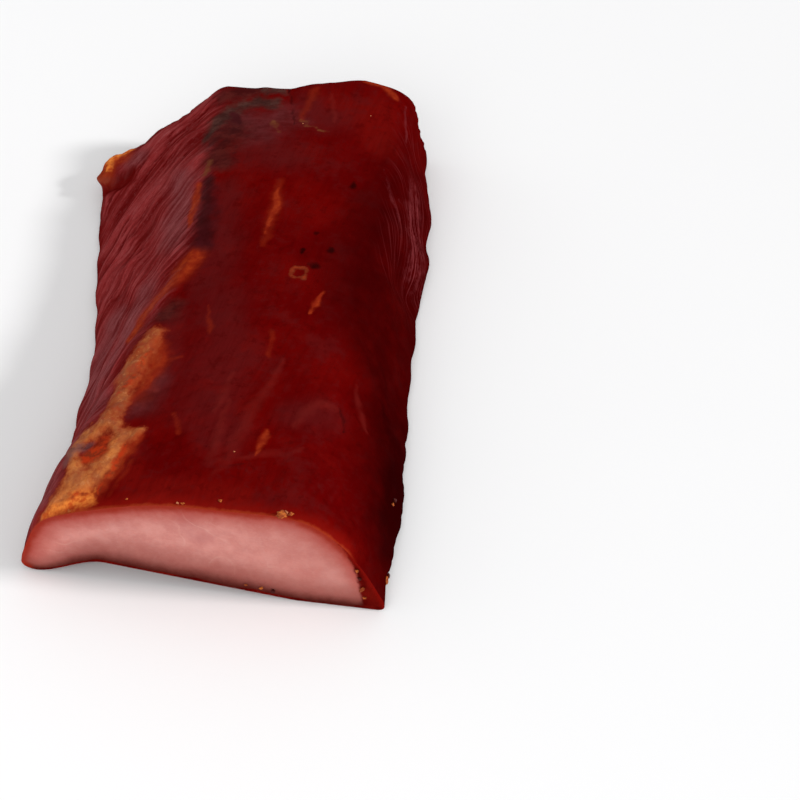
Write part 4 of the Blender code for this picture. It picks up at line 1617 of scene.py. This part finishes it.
def face_skin(points_mm, low):
    """1 where crust shows on the cut face: along its bottom and at its right end."""
    beyond = np.maximum(points_mm[:, 0] - FACE_END_MM, 0.0) / FACE_REACH_MM[0]
    at_right = smooth(0.93, 1.05, np.hypot(beyond, points_mm[:, 2] / FACE_REACH_MM[1]))
    at_right *= smooth(0.0, 6.0, points_mm[:, 0] - FACE_END_MM)
    thickness = SKIN_MM * (1.0 + 0.6 * noise_at(points_mm / SKIN_WAVE_MM, SEEDS["edge"]))
    return np.maximum(at_right, smooth(1.3, 0.7, low / thickness))


def painted_right_shade(points_mm):
    """How strong the painted shade is towards the right side."""
    x, y, _ = points_mm.T
    start, full, strength = (np.interp(y, PAINTED_SHADE_MM[:, 0], PAINTED_SHADE_MM[:, i]) for i in (1, 2, 3))
    wavy = x + SHADE_WAVE_MM * noise_at(points_mm / SHADE_WAVE_SIZE_MM, SEEDS["edge"])
    return strength * smooth(start - SHADE_WAVE_MM, full + SHADE_WAVE_MM, wavy)


def mark_fields(points_mm):
    """How far inside the marks of each kind every point is, with the ring of the scar in two."""
    wavy = points_mm.copy()
    for push, size in WAVES_MM:
        wavy += push * noise_vector_at(points_mm / size)
    fields = {
        kind: strokes(points_mm if kind in SMOOTH_MARKS else wavy, kind) for kind in MARKS_MM
    }
    ring = np.abs(scar_distance(0.5 * (wavy + points_mm)) - SCAR_RADIUS_MM) / SCAR_LINE_MM
    broken = 0.6 * noise_at(points_mm / SCAR_BREAK_MM, SEEDS["fat"])
    scar = np.clip(0.7 - ring + broken, -2.0, 1.0)
    for kind, more in SCAR_MARKS.items():
        fields[kind] = np.maximum(fields[kind], scar + more)
    return fields


def zone_fields(points_mm, box):
    """The two sides, the strands and the painted shade of the right one, and where the bright rim is.
    """
    x, y, z = points_mm.T
    right = right_side(box)
    fades_in, fades_out = STRANDS_MM
    strand = right * smooth(*fades_in, y) * smooth(*fades_out, y) * smooth(*STRANDS_ACROSS_MM, x)
    low, far_right = RIM_STOPS_MM
    open_rim = 1.0 - smooth(*low, z) * smooth(*far_right, x)
    open_rim *= mix(1.0, RIM_AT_TOE, smooth(*RIM_TOE_MM, x))
    return {
        "side": left_side(box),
        "right": right,
        "strand": strand,
        "shade": painted_right_shade(points_mm),
        "open_rim": open_rim,
    }


def crust_relief(points_mm, box, fields, grain_depth, settings):
    """How far the crust stands out at each point: its grain, wrinkles, marks and crags. It ends
    at the cut and at the floor."""
    _, along, up = box.T
    grained = fields["side"] + RIGHT_GRAIN * fields["right"] + STRAND_GRAIN * fields["strand"]
    depth = grained * grain_depth * mix(1.0, GRAIN_AT_BACK, smooth(*GRAIN_FADES, along))
    depth += top_wrinkles(points_mm) * (1.0 - fields["side"])
    depth += mark_relief(points_mm, fields, settings)
    crags = ridged_at(points_mm / CRAG_MM, SEEDS["crag"]) * CRAG_DEPTH
    crags += noise_at(points_mm / FINE_CRAG_MM) * CRAG_DEPTH
    at_back = smooth(CRAGS_FROM, 1.0, along) * smooth(1.0, CRAGS_UP_TO, up)
    to_right = smooth(*CRAGS_LEFT_MM, points_mm[:, 0])
    depth += at_back * crags * mix(CRAGS_AT_LEFT, 1.0, to_right)
    plain = (along < ON_SIDE) | (points_mm[:, 2] < FLAT_FOOT / MM)
    return np.where(plain, 0.0, depth * smooth(0.0, 2.0, fields["rim"]))


def face_relief(points_mm, fields):
    """The faint swells of the cut face and of the skin on it, which end at the face's edge."""
    swell = noise_at(points_mm / FACE_SWELL_MM, SEEDS["edge"]) * FACE_SWELL
    swell += noise_at(points_mm / FACE_ROUGH_MM) * FACE_ROUGHNESS
    inside = smooth(0.0, 1.5, np.minimum(fields["rim"], fields["low"]))
    return (swell + SKIN_HEIGHT * fields["skin"]) * inside


def new_piece(name, bm, *materials):
    """Makes a piece of the scene from a bmesh, and frees the bmesh."""
    mesh = bpy.data.meshes.new(name)
    bm.to_mesh(mesh)
    bm.free()
    for material in materials:
        mesh.materials.append(material)
    piece = bpy.data.objects.new(name, mesh)
    bpy.context.scene.collection.objects.link(piece)
    return piece


def slab_scale(settings):
    """How much larger than the solid the slab is made, across, along and up."""
    return Vector(
        wanted / of_solid
        for wanted, of_solid in zip((settings.width, settings.length, settings.height), HIGH - LOW)
    )


def make_slab(settings):
    """The slab of pork: its form, its relief, and the values that its materials read."""
    bm = box_grid(settings.cells_across, settings.cells_along, settings.cells_up)
    slab = new_piece("pork_slab", bm, crust_material(settings), meat_material(settings))
    mesh = slab.data
    box = points_of(mesh)
    add_uv(mesh, box)
    form = slab_points(box)
    points = form + broad_relief(form, box)
    rim, low = rim_distances(points, box)
    off_centre = 0.5 * (np.array(LOW + HIGH) - points.min(axis=0) - points.max(axis=0))
    points += off_centre * (1.0, 1.0, 0.0)
    set_points(mesh, points)

    points_mm = points / MM
    on_face = box[:, 1] < ON_SIDE
    fibre_across, fibre_along = fibre_frame(form)
    flat = np.zeros(len(points))
    fibres = np.stack((fibre_across, fibre_along, flat), axis=1)
    fields = mark_fields(points_mm) | zone_fields(points_mm, box)
    grain_depth, fields["lift"] = left_grain(points_mm, fibres, settings)
    fields |= {"rim": rim, "low": low, "skin": face_skin(points_mm, low) * on_face}
    depth = crust_relief(points_mm, box, fields, grain_depth, settings)
    points = points + normals_of(mesh) * depth[:, None]
    points[:, 1] += np.where(on_face, face_relief(points_mm, fields), 0.0)
    points[:, 2] = np.maximum(points[:, 2], 0.0)
    set_points(mesh, points * np.array(slab_scale(settings)))

    for name, values in fields.items():
        store(mesh, name, values)
    store(mesh, "fibre", fibres)
    store(mesh, "grain", np.stack((*top_frame(form), flat), axis=1))
    return slab


def make_crumbs(settings, slab, scale):
    """Small uneven crumbs seated on the slab where the photo shows them."""
    bm = bmesh.new()
    tone = bm.verts.layers.float.new("tone")
    for index, (kind, middle, radius) in enumerate(CRUMBS_MM):
        _, seat, normal, _ = slab.closest_point_on_mesh(Vector(middle) * MM * scale)
        size = radius * MM
        made = bmesh.ops.create_icosphere(bm, subdivisions=3, radius=size)["verts"]
        for vertex in made:
            place = vertex.co / size
            dent = noise.noise(place * CRUMB_DENTS + Vector((index * CRUMB_STEP, 0.0, 0.0)))
            crack = noise.noise(place * CRUMB_CRACKS + Vector((0.0, index * CRUMB_STEP, 0.0)))
            vertex.co *= 1.0 + CRUMB_DENT * dent + CRUMB_CRACK * crack
            vertex[tone] = kind
        bmesh.ops.scale(bm, verts=made, vec=CRUMB_SHAPE)
        upright = normal.to_track_quat("Z", "Y").to_matrix()
        turn = upright @ Matrix.Rotation(index * CRUMB_TURN, 3, "Z")
        bmesh.ops.rotate(bm, verts=made, cent=(0.0, 0.0, 0.0), matrix=turn)
        bmesh.ops.translate(bm, verts=made, vec=seat + normal * size * CRUMB_LIFT)
    for face in bm.faces:
        face.smooth = True
    return new_piece("rim_crumbs", bm, crumb_material(settings))


def hand_over(piece):
    """Attaches the piece to the root body and hides the solid that it replaces."""
    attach(piece, "root")
    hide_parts("smoked_pork")


class PORK_OT_slab(bpy.types.Operator):
    """Model the slab of smoked pork in place of its plain solid"""

    bl_idname = "pork.add_slab"
    bl_label = "Slab"

    def execute(self, context):
        hand_over(make_slab(context.scene.pork_slab_settings))
        return {"FINISHED"}


class PORK_OT_crumbs(bpy.types.Operator):
    """Scatter the crumbs that lie on the slab; the slab comes first"""

    bl_idname = "pork.add_crumbs"
    bl_label = "Crumbs"

    def execute(self, context):
        slab = bpy.data.objects.get("pork_slab")
        if slab is None:
            raise RuntimeError("the crumbs need the slab: run pork.add_slab first")
        scale = slab_scale(context.scene.pork_slab_settings)
        hand_over(make_crumbs(context.scene.pork_crumb_settings, slab, scale))
        return {"FINISHED"}


class PORK_OT_stage(bpy.types.Operator):
    """Set up the pale floor, the soft lights and the camera"""

    bl_idname = "pork.add_stage"
    bl_label = "Floor, lights and camera"

    def execute(self, context):
        settings = context.scene.pork_stage_settings
        add_floor(settings)
        add_lights(settings)
        add_camera(settings)
        return {"FINISHED"}


def add_floor(settings):
    """A pale matt floor just below the slab."""
    bm = bmesh.new()
    bmesh.ops.create_grid(bm, x_segments=1, y_segments=1, size=FLOOR_REACH)
    bmesh.ops.translate(bm, verts=bm.verts[:], vec=(0.0, 0.0, -FLOOR_GAP))
    made, nodes, shader = new_material("pale floor", Roughness=0.85, Specular_IOR_Level=0.1)
    place = nodes.add("ShaderNodeTexCoord").outputs["Object"]
    uneven = nodes.range(nodes.noise(place, 6.0, 2.0), 0.3, 0.7, 0.0, 0.04)
    nodes.feed(shader, Base_Color=nodes.mix(uneven, settings.floor_colour, FLOOR_SHADE))
    new_piece("floor", bm, made)


def place_lamp(light, place, aim):
    """Puts a light at its place, turned towards its aim."""
    lamp = bpy.data.objects.new(light.name, light)
    lamp.location = place
    lamp.rotation_euler = (Vector(place) - Vector(aim)).to_track_quat("Z", "Y").to_euler()
    bpy.context.scene.collection.objects.link(lamp)


def add_area_light(name, place, size, power):
    """A soft rectangular light that shines on the slab."""
    light = bpy.data.lights.new(name, "AREA")
    light.shape = "RECTANGLE"
    light.size, light.size_y = size
    light.energy = power
    place_lamp(light, place, LIGHTS_AIM)


def add_sun(name, place, strength):
    """A light as from far away, which shines from a place towards the origin."""
    light = bpy.data.lights.new(name, "SUN")
    light.energy = strength
    light.angle = SUN_ANGLE
    place_lamp(light, place, (0.0, 0.0, 0.0))


def add_lights(settings):
    """The light from the right, two soft lights and the even light all round."""
    add_sun("key light", KEY_LIGHT, settings.key_strength)
    add_area_light("front light", *FRONT_LIGHT, settings.front_power)
    add_area_light("left light", *LEFT_LIGHT, settings.left_power)
    world = bpy.data.worlds.new("soft room")
    world.use_nodes = True
    background = world.node_tree.nodes["Background"]
    background.inputs["Color"].default_value = (1.0, 1.0, 1.0, 1.0)
    background.inputs["Strength"].default_value = settings.world_strength
    bpy.context.scene.world = world
    bpy.context.scene.view_settings.view_transform = "Standard"


def add_camera(settings):
    """The camera that sees the slab as the photo does."""
    camera_data = bpy.data.cameras.new("camera")
    camera_data.sensor_width = CAMERA_SENSOR
    camera_data.lens = CAMERA_LENS
    camera_data.clip_start = CAMERA_CLIP
    camera = bpy.data.objects.new("camera", camera_data)
    turn, height = settings.camera_turn, settings.camera_height
    level = math.cos(height)
    back = Vector((math.sin(turn) * level, -math.cos(turn) * level, math.sin(height)))
    camera.location = Vector(CAMERA_TARGET) + back * settings.camera_distance
    camera.rotation_euler = back.to_track_quat("Z", "Y").to_euler()
    bpy.context.scene.collection.objects.link(camera)
    bpy.context.scene.camera = camera


class PORK_PT_panel(bpy.types.Panel):
    """Lists the pieces of the smoked pork and what can be changed on them"""

    bl_label = "Smoked Pork"
    bl_idname = "PORK_PT_panel"
    bl_space_type = "VIEW_3D"
    bl_region_type = "UI"
    bl_category = "Smoked Pork"

    def draw(self, context):
        for operator, name in (
            ("pork.add_slab", "pork_slab_settings"),
            ("pork.add_crumbs", "pork_crumb_settings"),
            ("pork.add_stage", "pork_stage_settings"),
        ):
            column = self.layout.column()
            column.operator(operator)
            settings = getattr(context.scene, name)
            for prop in settings.bl_rna.properties:
                if not prop.is_readonly and prop.identifier != "name":
                    column.prop(settings, prop.identifier)


GROUPS = {
    "pork_slab_settings": SlabSettings,
    "pork_crumb_settings": CrumbSettings,
    "pork_stage_settings": StageSettings,
}
CLASSES = (*GROUPS.values(), PORK_OT_slab, PORK_OT_crumbs, PORK_OT_stage, PORK_PT_panel)


def register():
    """Adds the settings, the operators and the panel."""
    for made in CLASSES:
        bpy.utils.register_class(made)
    for name, group in GROUPS.items():
        setattr(bpy.types.Scene, name, PointerProperty(type=group))


def unregister():
    """Takes the settings, the operators and the panel away."""
    for name in GROUPS:
        delattr(bpy.types.Scene, name)
    for made in reversed(CLASSES):
        bpy.utils.unregister_class(made)


def main():
    """Makes every piece and the stage."""
    register()
    bpy.ops.pork.add_slab()
    bpy.ops.pork.add_crumbs()
    bpy.ops.pork.add_stage()


if __name__ == "__main__":
    main()
